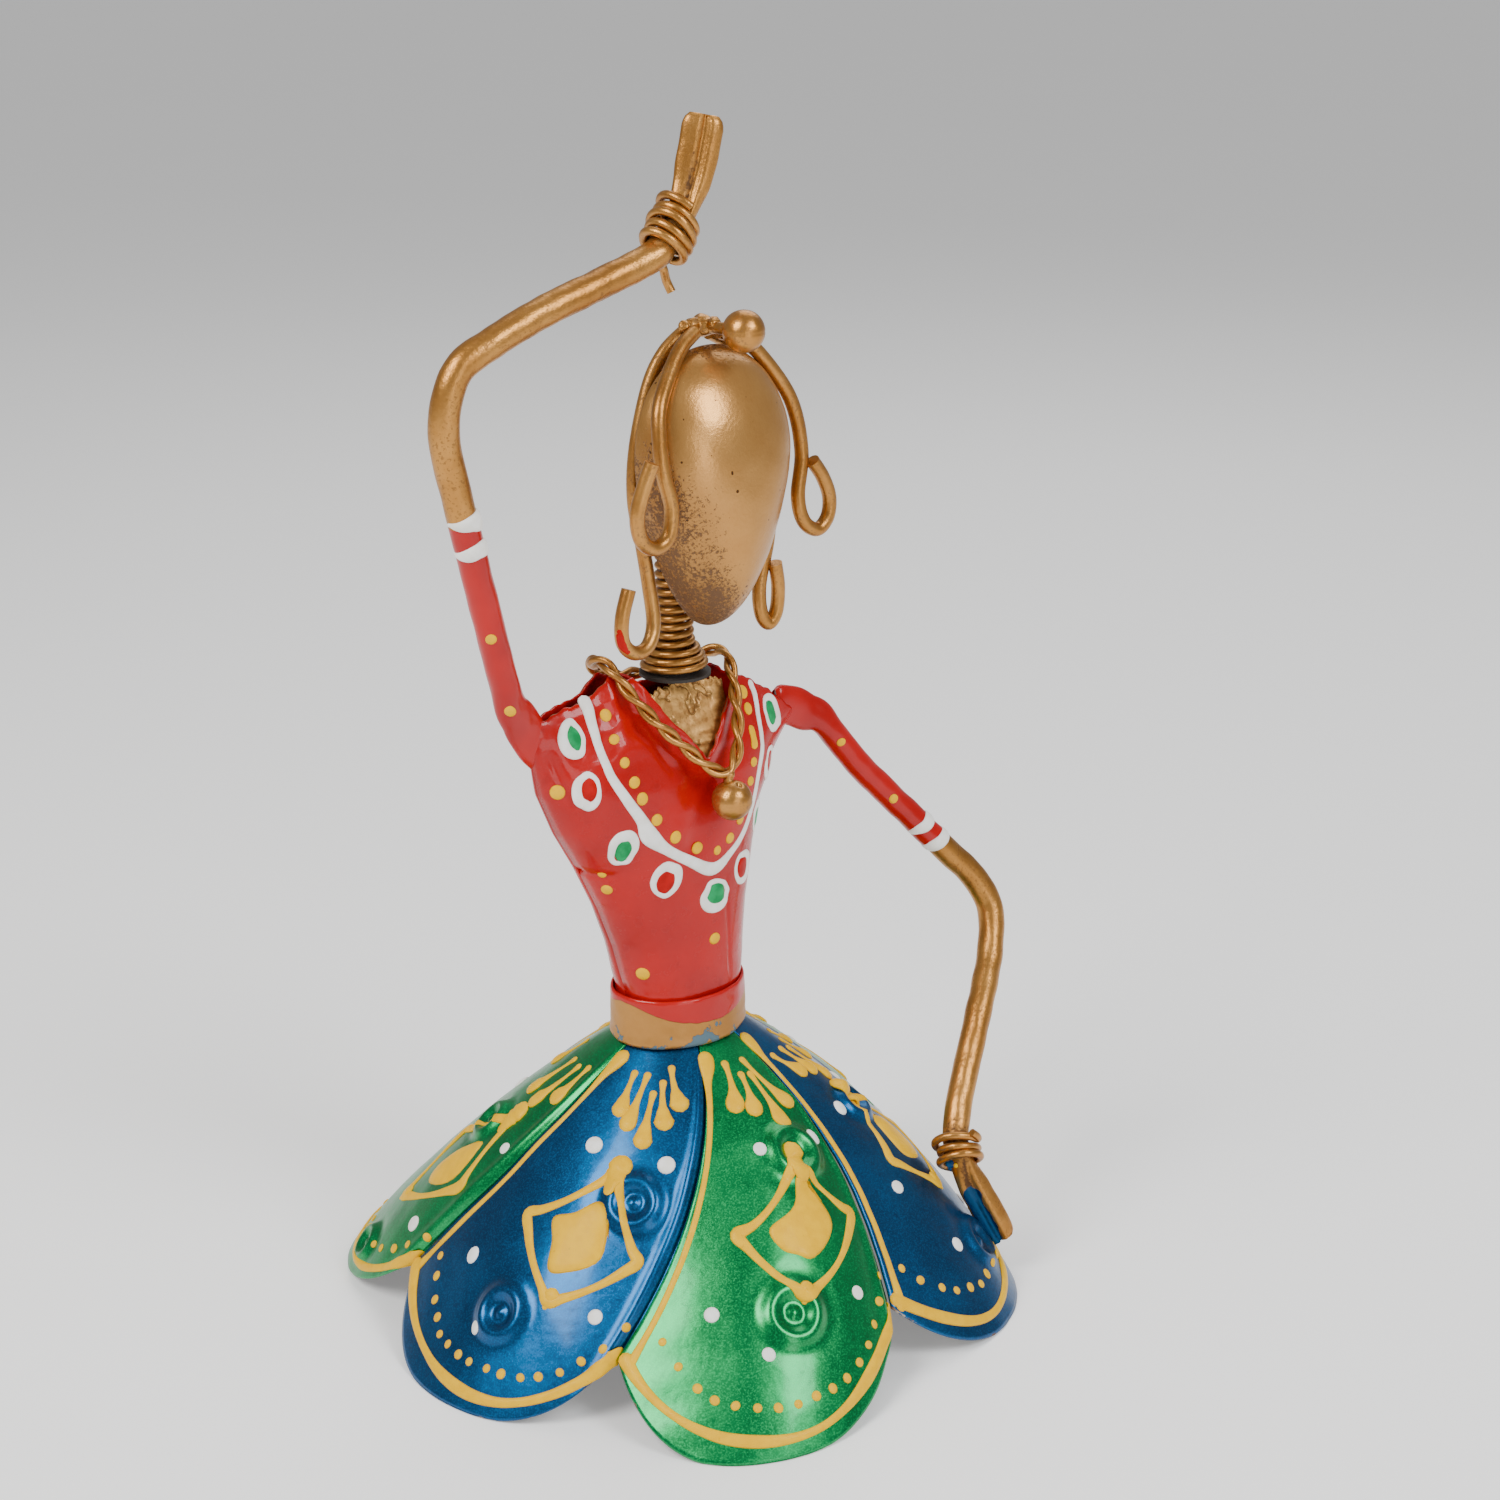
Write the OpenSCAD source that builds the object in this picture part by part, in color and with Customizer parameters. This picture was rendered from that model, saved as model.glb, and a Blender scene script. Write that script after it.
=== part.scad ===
// Sheet-iron dancing doll: six-petal skirt, band belt, two-shell torso, bent tube arms and a
// head on a coil-spring neck. The figure faces -Y, +X is the figure's left, millimetres.

/* [Skirt] */
// Number of petals round the skirt
petal_count = 6; // [6:1:6]
// Radius of the petal tips on the floor
skirt_tip_r = 80.5; // [74:0.5:86]
// Radius of the notches between petals
skirt_notch_r = 64; // [60:0.5:68]
// Height of the notches above the floor
skirt_notch_z = 14.5; // [10:0.5:18]
// Height of the skirt's top edge inside the belt
skirt_top_z = 65; // [65:1:65]
// Turn of the first petal's centre line from the front, in degrees
skirt_turn = 37; // [30:1:44]
// Thickness of the skirt sheet
skirt_sheet = 0.8; // [0.6:0.1:1.2]

/* [Belt and torso] */
// Half width of the belt, side to side
belt_half_w = 16.8; // [16.5:0.1:17.5]
// Half depth of the belt, front to back
belt_half_d = 13.6; // [13.4:0.1:14.2]
// Lower edge of the belt
belt_low_z = 65.2; // [65.2:0.1:66]
// Height of the belt band
belt_h = 11.6; // [9:0.2:14]
// Thickness of the belt and torso sheet
body_sheet = 0.7; // [0.5:0.1:0.8]

/* [Arms] */
// Diameter of the arm tube
arm_d = 6.4; // [5.5:0.1:6.6]
// Wire diameter of the wrist wraps
wrap_wire_d = 2; // [1.6:0.1:2.2]

/* [Neck and head] */
// Wire diameter of the neck spring
spring_wire_d = 1.5; // [1.2:0.1:1.6]
// Outer diameter of the spring's straight part
spring_d = 8.8; // [8:0.1:9]
// Outer diameter of the spring's flared foot
spring_foot_d = 15.8; // [13:0.1:16]
// Height of the face shell
face_h = 61; // [56:1:62]
// Half width scale of the egg-shaped face
face_half_w = 18.8; // [17.6:0.1:18.8]
// Depth of the face dome
face_dome = 15; // [13:0.5:15]
// Diameter of the hair wires
hair_d = 3.2; // [2.6:0.1:3.2]
// Diameter of the brow ball and of the pendant ball
ball_d = 9; // [8:0.2:9]

/* [Hidden] */

// The neck and skirt share one upright axis, set off the origin so that the whole figure,
// with its reaching elbow, is centred on the origin.
axis = [-5.3, 1.2, 0];
// Clearance left between neighbouring sheets
gap = 0.15;

// Torso heights
plate_t = 0.7;
torso_low_z = belt_low_z + plate_t + 2 * gap;
neck_plate_z = 149.8;
neck_plate_t = 0.7;
spring_low_z = neck_plate_z + neck_plate_t + 0.05;
spring_top_z = 196;

// Head: the rim plane of the face lies in front of the spring
face_rim_y = -11;
face_mid_z = 193.9;
face_sheet = 0.8;

// Outlines of the torso, as [height, distance] pairs, and of its shoulder line, as [x, height]
torso_right_edge = [[66, 15.3], [77.2, 15.6], [82, 17.2], [90, 19.5], [100, 23.5], [110, 28.5], [120, 34.5],
    [130, 39], [140, 41], [150, 41]];
torso_left_edge = [[66, 15.3], [77.2, 15.6], [82, 16.8], [95, 17.6], [108, 19.8], [118, 22], [127, 28],
    [134, 36], [150, 38]];
torso_depth = [[66, 12], [77.2, 12], [105, 12.2], [118, 12.8], [128, 11.4], [134, 10],
    [142, 8.6], [156, 7]];
back_depth = [[66, 12], [77.2, 11.6], [90, 10.5], [120, 9.5], [140, 8], [156, 7]];
shoulder_line = [[-42, 145], [-36, 148], [-26, 150], [-21, 153.5], [-12.6, 151.6], [-9.4, 149.3],
    [0, 149.4], [8.5, 149.4], [13, 148.4], [21, 144.2], [28, 139.5], [37, 133.4]];
neck_opening = [[-14, 151.5], [-11, 146.5], [0, 132], [11, 144.5], [13, 147.5]];

// Arm centre lines
raised_arm_path = [[-44, -0.6, 149], [-46.5, -1, 153], [-50.4, -2, 165.6], [-54.5, -3, 179.5],
    [-60.8, -5, 199.7], [-64, -6, 211], [-64.4, -7, 219], [-61.5, -8, 226.6], [-54, -9, 231],
    [-42.4, -10, 235.7], [-27.7, -11, 240.2], [-16, -12, 244], [-12.4, -12.3, 246.6],
    [-8.6, -12.6, 251.4], [-5.6, -13, 258], [-3.8, -13.5, 265.4], [-2.6, -14, 272]];
lowered_arm_path = [[40, 0, 132], [43.5, -0.8, 130.2], [48, -2, 124.5], [54, -4, 116.3],
    [64, -7, 105.3], [74.1, -12, 93.4], [82, -16.5, 83.5], [83.6, -20, 76],
    [79.4, -24, 67], [69.7, -30, 57], [62, -34, 47.6], [55, -38, 39.5], [50.5, -41.5, 33],
    [50, -44.5, 28], [51.6, -47.8, 21.6], [53.8, -50.6, 15], [55.8, -52.6, 9.4]];

// Hair wires run from the crown down past the face and end in an open curl
hair_front_right = [[-3.4, -11.3, 227.4], [-8, -12.5, 225], [-12.8, -14.5, 220.8],
    [-18.4, -17.6, 214.4], [-19.9, -19.2, 208], [-19.7, -20.2, 201], [-18.2, -20.8, 194.2],
    [-19.2, -21, 188.2], [-22.8, -21, 186.2], [-26.8, -21.4, 188.6], [-28.4, -22, 194],
    [-27.2, -22.8, 200], [-25.6, -23.6, 205]];
hair_back_right = [[-3.4, -7.9, 227], [-8.4, -7.4, 223.2], [-12.6, -7.2, 216.6],
    [-16.6, -7.6, 204], [-17.4, -7.8, 193.2], [-15.4, -7.9, 183], [-14, -8.2, 174],
    [-13.9, -9.4, 166], [-16.6, -10.6, 161.6], [-20.6, -11, 161], [-23.9, -11.3, 164],
    [-24.2, -11.5, 169.4], [-22.3, -11.5, 175.4]];
hair_front_left = [[3.6, -11.3, 226.8], [8, -12, 225], [13.4, -12.8, 221.2], [21.4, -14, 210.6],
    [23.9, -15, 199], [22, -16, 189.4], [23.2, -16.6, 183.6], [26.8, -17, 181.2],
    [30.4, -17, 183.4], [31.1, -17, 188.6], [28.9, -17, 195.2]];
hair_back_left = [[3.6, -7.9, 226.2], [8.6, -7.4, 223.6], [14, -6.8, 218.6], [20, -6.6, 206],
    [22.2, -7, 192], [20.9, -7.6, 179], [17.4, -8, 168.6], [17.3, -8.6, 162],
    [20, -9, 159.2], [23, -9.2, 161.8], [23.5, -9.4, 167.4], [22.9, -9.8, 172.8]];

// Closed loop of the necklace round the neck, from the pendant up over the right shoulder,
// behind the spring and down again
necklace_path = [[0.7, -16.4, 130.6], [-4.2, -15.6, 133], [-9.2, -13.4, 138.2],
    [-14.6, -10.6, 144.2], [-18.8, -6.4, 151], [-20.2, -1.2, 155.8], [-19.4, 5, 155.4],
    [-14.6, 9.6, 151.4], [-5.6, 12.2, 148], [4.4, 12, 146.8], [11.4, 9, 148.8],
    [14.4, 3.6, 151.4], [13.6, -2, 151.2], [10.6, -7.8, 146.2], [7.2, -12.8, 139.2],
    [4.2, -15.6, 133.4]];
pendant_pos = [0.7, -18.2, 124.6];
necklace_wire_d = 1.5;
necklace_turns = 9;

// ---- helpers: smooth paths, swept tubes and sheets with a thickness ----

function unit(v) = v / norm(v);

// One point of a Catmull-Rom curve through b and c
function curve_point(a, b, c, d, t) =
    0.5 * (2 * b + (c - a) * t + (2 * a - 5 * b + 4 * c - d) * t * t
        + (3 * b - a - 3 * c + d) * t * t * t);

function smooth_path(p, steps) = let (last = len(p) - 1) concat(
    [for (i = [0 : last - 1], j = [0 : steps - 1])
        curve_point(p[max(i - 1, 0)], p[i], p[i + 1], p[min(i + 2, last)], j / steps)],
    [p[last]]);

function smooth_loop(p, steps) = let (n = len(p))
    [for (i = [0 : n - 1], j = [0 : steps - 1])
        curve_point(p[(i + n - 1) % n], p[i], p[(i + 1) % n], p[(i + 2) % n], j / steps)];

function tangent(p, i, closed) = let (n = len(p)) closed
    ? unit(p[(i + 1) % n] - p[(i + n - 1) % n])
    : unit(p[min(i + 1, n - 1)] - p[max(i - 1, 0)]);

// Ring of an elliptical section round a point, across its tangent; side is kept square to ref
function tube_ring(c, t, ref, across, along, sides) =
    let (side = unit(cross(t, ref)), up = cross(t, side))
    [for (k = [0 : sides - 1]) let (a = 360 * k / sides)
        c + side * across * cos(a) + up * along * sin(a)];

// Band of triangles between rings i and j
function ring_band(i, j, sides) = [for (k = [0 : sides - 1])
    let (m = (k + 1) % sides, a = i * sides, b = j * sides)
    each [[a + k, b + k, b + m], [a + k, b + m, a + m]]];

// Tube along a path; width and height give its half sizes at each point
module tube(path, ref, width, height, sides) {
    rings = [for (i = [0 : len(path) - 1])
        tube_ring(path[i], tangent(path, i, false), ref, width[i], height[i], sides)];
    last = len(path) - 1;
    faces = concat([for (i = [0 : last - 1]) each ring_band(i, i + 1, sides)],
        [[for (k = [0 : sides - 1]) k],
         [for (k = [sides - 1 : -1 : 0]) last * sides + k]]);
    polyhedron([for (r = rings) each r], faces, convexity = 6);
}

module round_tube(path, ref, d, sides) {
    half = [for (p = path) d / 2];
    tube(path, ref, half, half, sides);
}

module closed_tube(path, ref, d, sides) {
    n = len(path);
    rings = [for (i = [0 : n - 1])
        tube_ring(path[i], tangent(path, i, true), ref, d / 2, d / 2, sides)];
    faces = [for (i = [0 : n - 1]) each ring_band(i, (i + 1) % n, sides)];
    polyhedron([for (r = rings) each r], faces, convexity = 6);
}

// Sheet between two grids of points, outer and inner, both given row by row
module sheet(outer, inner) {
    rows = len(outer);
    cols = len(outer[0]);
    n = rows * cols;
    function at(r, c) = r * cols + c;
    faces = concat(
        [for (r = [0 : rows - 2], c = [0 : cols - 2])
            each [[at(r, c), at(r + 1, c), at(r + 1, c + 1)], [at(r, c), at(r + 1, c + 1), at(r, c + 1)]]],
        [for (r = [0 : rows - 2], c = [0 : cols - 2])
            each [[n + at(r, c), n + at(r + 1, c + 1), n + at(r + 1, c)],
                [n + at(r, c), n + at(r, c + 1), n + at(r + 1, c + 1)]]],
        [for (c = [0 : cols - 2]) each [
            [at(0, c), at(0, c + 1), n + at(0, c + 1), n + at(0, c)],
            [at(rows - 1, c + 1), at(rows - 1, c), n + at(rows - 1, c), n + at(rows - 1, c + 1)]]],
        [for (r = [0 : rows - 2]) each [
            [at(r + 1, 0), at(r, 0), n + at(r, 0), n + at(r + 1, 0)],
            [at(r, cols - 1), at(r + 1, cols - 1), n + at(r + 1, cols - 1), n + at(r, cols - 1)]]]);
    polyhedron(concat([for (r = inner) each r], [for (r = outer) each r]), faces, convexity = 8);
}

// ---- skirt ----

petal_half = 180 / petal_count - 0.25;
petal_cols = 14;
petal_rows = 9;
// Reach of each petal's tip and lift of each petal's dome beyond the common cone
petal_reach = [0, 0, 0, 1, -4, 2.6];
petal_dome = [2.2, 3.4, 1.6, 1.8, 1.4, 2];
// Shift of each petal's tip to one side, as a share of its half width
petal_skew = [0, 0, 0, 0, 0, 0.16];
crease_bulge = 2.8;
// Degrees that each crease, at a petal's lower-angle side, winds round from hem to belt
crease_wind = [25, 16, 12, 15, 26, 34];
hem_power = 2.2;
foot_flat = 0.2;

function belt_r(a, inset) = let (w = belt_half_w - inset, d = belt_half_d - inset)
    w * d / sqrt(pow(d * sin(a), 2) + pow(w * cos(a), 2));

// Point of petal k; t runs across from -1 to 1 and s from the belt, 0, to the hem, 1
function petal_point(k, t, s, depth) =
    let (
        next = (k + 1) % petal_count,
        wind = (crease_wind[k] * (1 - t) + crease_wind[next] * (1 + t)) / 2,
        a = skirt_turn + 60 * k + t * petal_half + wind * (1 - s),
        top_r = belt_r(a, body_sheet + 0.6),
        off = abs(t + petal_skew[k] * (1 - t * t)),
        droop = off < foot_flat ? 0 : pow((off - foot_flat) / (1 - foot_flat), hem_power),
        hem_r = skirt_notch_r + (skirt_tip_r + petal_reach[k] - skirt_notch_r) * (1 - pow(off, hem_power)),
        hem_z = skirt_notch_z * droop,
        bulge = (crease_bulge + petal_dome[k] * (1 - t * t)) * 4 * s * (1 - s),
        side = depth * min(1, (1 - s) * 8),
        r = top_r + (hem_r - top_r) * s + bulge * 0.69 - depth * 0.72 + side * 0.02,
        z = skirt_top_z + (hem_z - skirt_top_z) * s + bulge * 0.72 - side * 0.69
    )
    [r * sin(a), -r * cos(a), z];

module skirt_petal(k) {
    outer = [for (i = [0 : petal_rows]) let (s = i / petal_rows)
        [for (j = [0 : petal_cols]) petal_point(k, 2 * j / petal_cols - 1, s, 0)]];
    inner = [for (i = [0 : petal_rows]) let (s = i / petal_rows)
        [for (j = [0 : petal_cols]) petal_point(k, 2 * j / petal_cols - 1, s, skirt_sheet)]];
    color(k % 2 == 0 ? "#0a5aa0" : "#00964f")
        translate(axis) sheet(outer, inner);
}

// ---- waist ----

belt_sides = 48;

function belt_outline(inset) = [for (k = [0 : belt_sides - 1]) let (a = 360 * k / belt_sides)
    [(belt_half_w - inset) * sin(a), (belt_half_d - inset) * cos(a)]];

module waist_belt() {
    color("#b98a4e") translate(axis + [0, 0, belt_low_z])
        linear_extrude(belt_h) difference() {
            polygon(belt_outline(0));
            polygon(belt_outline(body_sheet));
        }
}

// Oval plate inside the belt that ties the petals' tops to the torso
module waist_plate() {
    color("#8a6a44") translate(axis + [0, 0, skirt_top_z + gap])
        linear_extrude(plate_t) polygon(belt_outline(body_sheet + gap));
}

// ---- torso ----

torso_cols = 16;
torso_rows = 12;

function shoulder_z(x) = lookup(x, shoulder_line);
function front_top_z(x) = abs(x + 0.5) < 13.5 ? min(shoulder_z(x), lookup(x, neck_opening)) : shoulder_z(x);

// Point of a torso shell; u runs across from -1, the figure's right, to 1, and v runs upwards
function torso_point(u, v, front, inset) =
    let (
        top_x = u < 0 ? u * 41 : u * 37,
        top = front ? front_top_z(top_x) : shoulder_z(top_x),
        z = torso_low_z + (top - torso_low_z) * v,
        edge_r = lookup(z, torso_right_edge) - inset,
        edge_l = lookup(z, torso_left_edge) - inset,
        x = u < 0 ? u * edge_r : u * edge_l,
        closing = min(1, sqrt(max(0, shoulder_z(top_x) - z + 2) / 16)),
        full = front ? lookup(z, torso_depth) : lookup(z, back_depth),
        y = 0.15 + (full * closing - inset) * sqrt(max(0, 1 - pow(abs(u), 2.3)))
    )
    [x, front ? -y : y, z];

module torso_shell(front) {
    function grid(inset) = [for (i = [0 : torso_rows])
        [for (j = [0 : torso_cols]) let (u = 2 * j / torso_cols - 1)
            torso_point(u, i / torso_rows, front, inset)]];
    if (front) sheet(grid(body_sheet), grid(0));
    else sheet(grid(0), grid(body_sheet));
}

module torso_front_shell() {
    color("#e0261c") translate(axis) torso_shell(true);
}

module torso_back_shell() {
    color("#d4221a") translate(axis) torso_shell(false);
}

// Sheet behind the neck opening that stands for the figure's bare chest
chest_half_w = 12;
chest_low_z = 124;
chest_top_z = 149.2;
chest_inset = 1.8;

function chest_point(j, i, inset) =
    let (
        u = 2 * j / 10 - 1,
        x = u * (chest_half_w - abs(u) * 1),
        z = chest_low_z + (chest_top_z - abs(u) * 2 - chest_low_z) * i / 8,
        side = x < 0 ? x / lookup(z, torso_right_edge) : x / lookup(z, torso_left_edge),
        closing = min(1, sqrt(max(0, 151.4 - z) / 16)),
        y = 0.15 + (lookup(z, torso_depth) * closing - inset) * sqrt(1 - pow(abs(side), 2.3))
    )
    [x, -y, z];

module chest_plate() {
    function grid(inset) = [for (i = [0 : 8]) [for (j = [0 : 10]) chest_point(j, i, inset)]];
    color("#c9985f") translate(axis)
        sheet(grid(chest_inset + body_sheet), grid(chest_inset));
}

module neck_plate() {
    color("#4a4038") translate(axis + [0, 0, neck_plate_z])
        cylinder(h = neck_plate_t, r = spring_foot_d / 2 + 0.1, $fn = 48);
}

// ---- arms ----

arm_steps = 3;

// Half sizes along an arm: round tube, pressed flat into a hand over its last points
function arm_half(n, hand, flat) = [for (i = [0 : n - 1])
    let (f = max(0, min(1, (i - hand) / (n - 1 - hand) * 2.2)))
    arm_d / 2 * (1 + (flat - 1) * f)];

module bent_arm(path, hand_from, wide, thin) {
    smooth = smooth_path(path, arm_steps);
    n = len(smooth);
    hand = hand_from * arm_steps;
    tube(smooth, [0, 1, 0], arm_half(n, hand, wide), arm_half(n, hand, thin), 12);
}

module raised_arm() {
    color("#c9985f") translate(axis) bent_arm(raised_arm_path, 12, 1.05, 0.62);
}

module lowered_arm() {
    color("#c9985f") translate(axis) bent_arm(lowered_arm_path, 12, 1.05, 0.62);
}

// Open coil of wire; rise per turn, ring radius and wire diameter are in millimetres
module coil(r, turns, rise, wire_d, per_turn, sides) {
    n = ceil(turns * per_turn);
    path = [for (i = [0 : n]) let (a = 360 * turns * i / n)
        [r * cos(a), r * sin(a), rise * turns * (i / n - 0.5)]];
    round_tube(path, [0, 0, 1], wire_d, sides);
}

// Places a coil's axis along the arm between two of its path points
module on_arm(p, q) {
    d = unit(q - p);
    translate((p + q) / 2) rotate([0, acos(d.z), atan2(d.y, d.x)]) children();
}

wrap_r = arm_d / 2 + wrap_wire_d / 2 + 0.75;

module raised_wrist_wrap() {
    color("#a9763e") translate(axis)
        on_arm(raised_arm_path[12], raised_arm_path[13])
            coil(wrap_r, 3.5, wrap_wire_d + 0.15, wrap_wire_d, 14, 8);
}

module lowered_wrist_wrap() {
    color("#a9763e") translate(axis)
        on_arm(lowered_arm_path[12], lowered_arm_path[13])
            coil(wrap_r, 2.5, wrap_wire_d + 0.15, wrap_wire_d, 14, 8);
}

// ---- neck ----

spring_turns = 23;
spring_foot_turns = 3;

// Spring radius and height by turn: three wide turns at the foot, then a straight coil
spring_rise = (spring_top_z - spring_low_z - spring_wire_d * (spring_foot_turns + 1))
    / (spring_turns - spring_foot_turns);

function spring_ring_r(turn) = let (
        foot = (spring_foot_d - spring_wire_d) / 2,
        top = (spring_d - spring_wire_d) / 2,
        f = min(1, turn / (spring_foot_turns + 1))
    ) foot + (top - foot) * pow(f, 1.3);

function spring_z(turn) = spring_low_z + spring_wire_d / 2
    + (turn < spring_foot_turns ? turn * (spring_wire_d + 0.08)
        : spring_foot_turns * (spring_wire_d + 0.08) + (turn - spring_foot_turns) * spring_rise);

module neck_spring() {
    per_turn = 12;
    n = spring_turns * per_turn;
    path = [for (i = [0 : n]) let (turn = i / per_turn, r = spring_ring_r(turn))
        [r * cos(360 * turn), r * sin(360 * turn), spring_z(turn)]];
    color("#a9763e") translate(axis) round_tube(path, [0, 0, 1], spring_wire_d, 6);
}

// ---- head ----

// Flat tab from the spring's top end to the inside of the face
bracket_w = 6;
bracket_t = 1;

module head_bracket() {
    reach = -face_rim_y + face_dome - face_sheet - 0.6;
    color("#8a6a44") translate(axis + [-bracket_w / 2, -reach, spring_top_z + 0.3])
        cube([bracket_w, reach + spring_d / 2, bracket_t]);
}

face_rings = 7;
face_sectors = 30;

// Egg-shaped rim, widest above its middle; out runs from the dome's top, 0, to the rim, 1
function face_point(out, a, half_w, half_h, dome) =
    let (x = half_w * sin(a) * (1 + 0.35 * cos(a)) * sin(out * 90),
        z = half_h * cos(a) * sin(out * 90))
    [x, face_rim_y - dome * cos(out * 90), face_mid_z + z];

module face_shell() {
    function ring(i, t) = [for (k = [0 : face_sectors - 1])
        face_point(i / face_rings, 360 * k / face_sectors, face_half_w - t, face_h / 2 - t, face_dome - t)];
    m = face_sectors;
    inner_at = face_rings * m + 1;
    points = concat([face_point(0, 0, face_half_w, face_h / 2, face_dome)],
        [for (i = [1 : face_rings]) each ring(i, 0)],
        [face_point(0, 0, face_half_w, face_h / 2, face_dome - face_sheet)],
        [for (i = [1 : face_rings]) each ring(i, face_sheet)]);
    function skin(base, flip) = concat(
        [for (k = [0 : m - 1]) let (l = (k + 1) % m)
            flip ? [base, base + 1 + l, base + 1 + k] : [base, base + 1 + k, base + 1 + l]],
        [for (i = [0 : face_rings - 2], k = [0 : m - 1]) let (l = (k + 1) % m,
            p = base + 1 + i * m, q = p + m)
            each (flip ? [[p + k, p + l, q + l], [p + k, q + l, q + k]]
                : [[p + k, q + l, p + l], [p + k, q + k, q + l]])]);
    rim = (face_rings - 1) * m + 1;
    faces = concat(skin(0, false), skin(inner_at, true),
        [for (k = [0 : m - 1]) let (l = (k + 1) % m)
            [rim + k, inner_at + rim + k, inner_at + rim + l, rim + l]]);
    color("#c9985f") translate(axis) polyhedron(points, faces, convexity = 4);
}

module hair_wire(path) {
    color("#c0904f") translate(axis)
        round_tube(smooth_path(path, 3), [0, 1, 0], hair_d, 8);
}

module hair_wire_front_right() { hair_wire(hair_front_right); }
module hair_wire_back_right() { hair_wire(hair_back_right); }
module hair_wire_front_left() { hair_wire(hair_front_left); }
module hair_wire_back_left() { hair_wire(hair_back_left); }

crown = [0.2, -9.6, 228.2];
brow_ball_pos = [1.7, -21, 228.3];

module hair_weld() {
    color("#d6ab6a") translate(axis + crown) sphere(r = 2.6, $fn = 32);
}

module brow_ball() {
    color("#c9985f") translate(axis + brow_ball_pos) sphere(d = ball_d, $fn = 48);
}

// Short wire between the crown and the brow ball
module brow_ball_pin() {
    from = crown + [0.3, -2.9, 0];
    span = brow_ball_pos - from;
    length = norm(span) - ball_d / 2 - gap;
    color("#c0904f") translate(axis + from)
        rotate([0, acos(span.z / norm(span)), atan2(span.y, span.x)])
            cylinder(h = length, d = hair_d - 0.6, $fn = 32);
}

// ---- necklace: two wires twisted round each other ----

necklace_normal = unit([0, -0.62, 0.78]);

module necklace_strand(phase) {
    loop = smooth_loop(necklace_path, 6);
    n = len(loop);
    path = [for (i = [0 : n - 1])
        let (t = tangent(loop, i, true), side = unit(cross(t, necklace_normal)),
            up = cross(side, t), a = phase + 360 * necklace_turns * i / n)
        loop[i] + (side * cos(a) + up * sin(a)) * (necklace_wire_d / 2 + 0.04)];
    color("#b5844a") translate(axis)
        closed_tube(path, necklace_normal, necklace_wire_d, 6);
}

module necklace_strand_a() { necklace_strand(0); }
module necklace_strand_b() { necklace_strand(180); }

module pendant_ball() {
    color("#c9985f") translate(axis + pendant_pos) sphere(d = ball_d, $fn = 48);
}

skirt_petal(0);  // skirt_petal_1
skirt_petal(1);  // skirt_petal_2
skirt_petal(2);  // skirt_petal_3
skirt_petal(3);  // skirt_petal_4
skirt_petal(4);  // skirt_petal_5
skirt_petal(5);  // skirt_petal_6
waist_belt();
waist_plate();
torso_front_shell();
torso_back_shell();
chest_plate();
neck_plate();
raised_arm();
lowered_arm();
raised_wrist_wrap();
lowered_wrist_wrap();
neck_spring();
head_bracket();
face_shell();
hair_wire_front_right();
hair_wire_back_right();
hair_wire_front_left();
hair_wire_back_left();
hair_weld();
brow_ball();
brow_ball_pin();
necklace_strand_a();
necklace_strand_b();
pendant_ball();
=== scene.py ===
import math

import bmesh
import bpy
import numpy as np
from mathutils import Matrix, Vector


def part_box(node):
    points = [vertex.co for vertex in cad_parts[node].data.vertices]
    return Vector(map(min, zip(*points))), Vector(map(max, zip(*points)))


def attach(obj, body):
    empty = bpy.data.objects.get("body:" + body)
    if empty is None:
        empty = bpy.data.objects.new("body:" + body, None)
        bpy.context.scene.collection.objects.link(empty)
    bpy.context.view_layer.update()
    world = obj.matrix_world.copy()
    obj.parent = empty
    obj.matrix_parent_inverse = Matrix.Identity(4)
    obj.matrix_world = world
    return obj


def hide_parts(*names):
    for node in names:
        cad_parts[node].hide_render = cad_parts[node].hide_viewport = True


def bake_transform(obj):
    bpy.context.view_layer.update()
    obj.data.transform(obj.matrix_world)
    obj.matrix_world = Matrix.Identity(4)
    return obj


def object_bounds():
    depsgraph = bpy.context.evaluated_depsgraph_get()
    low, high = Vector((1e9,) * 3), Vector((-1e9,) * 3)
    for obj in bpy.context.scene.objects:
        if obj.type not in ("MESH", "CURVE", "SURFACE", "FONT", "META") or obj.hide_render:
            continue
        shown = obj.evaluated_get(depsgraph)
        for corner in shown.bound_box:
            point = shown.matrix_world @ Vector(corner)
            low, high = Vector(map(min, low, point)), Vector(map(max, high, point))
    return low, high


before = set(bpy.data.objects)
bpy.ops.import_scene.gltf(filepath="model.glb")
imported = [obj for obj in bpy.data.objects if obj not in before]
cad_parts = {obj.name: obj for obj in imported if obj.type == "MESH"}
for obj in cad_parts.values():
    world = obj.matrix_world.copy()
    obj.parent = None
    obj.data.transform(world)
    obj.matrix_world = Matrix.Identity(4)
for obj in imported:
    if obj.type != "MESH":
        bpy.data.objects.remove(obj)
cadBox = [list(corner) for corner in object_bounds()]
print("frame loaded")

# Shapes are worked out in millimetres from the upright line that the neck and the skirt share,
# and go into the frame, in metres, when they become meshes.
mm = 0.001
plateLow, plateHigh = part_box("neck_plate")
figureAxis = np.array([(plateLow.x + plateHigh.x) / 2, (plateLow.y + plateHigh.y) / 2, 0.0])
cadMiddle = (Vector(cadBox[0]) + Vector(cadBox[1])) / 2


def toFrame(points):
    return np.asarray(points, float).reshape(-1, 3) * mm + figureAxis


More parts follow.
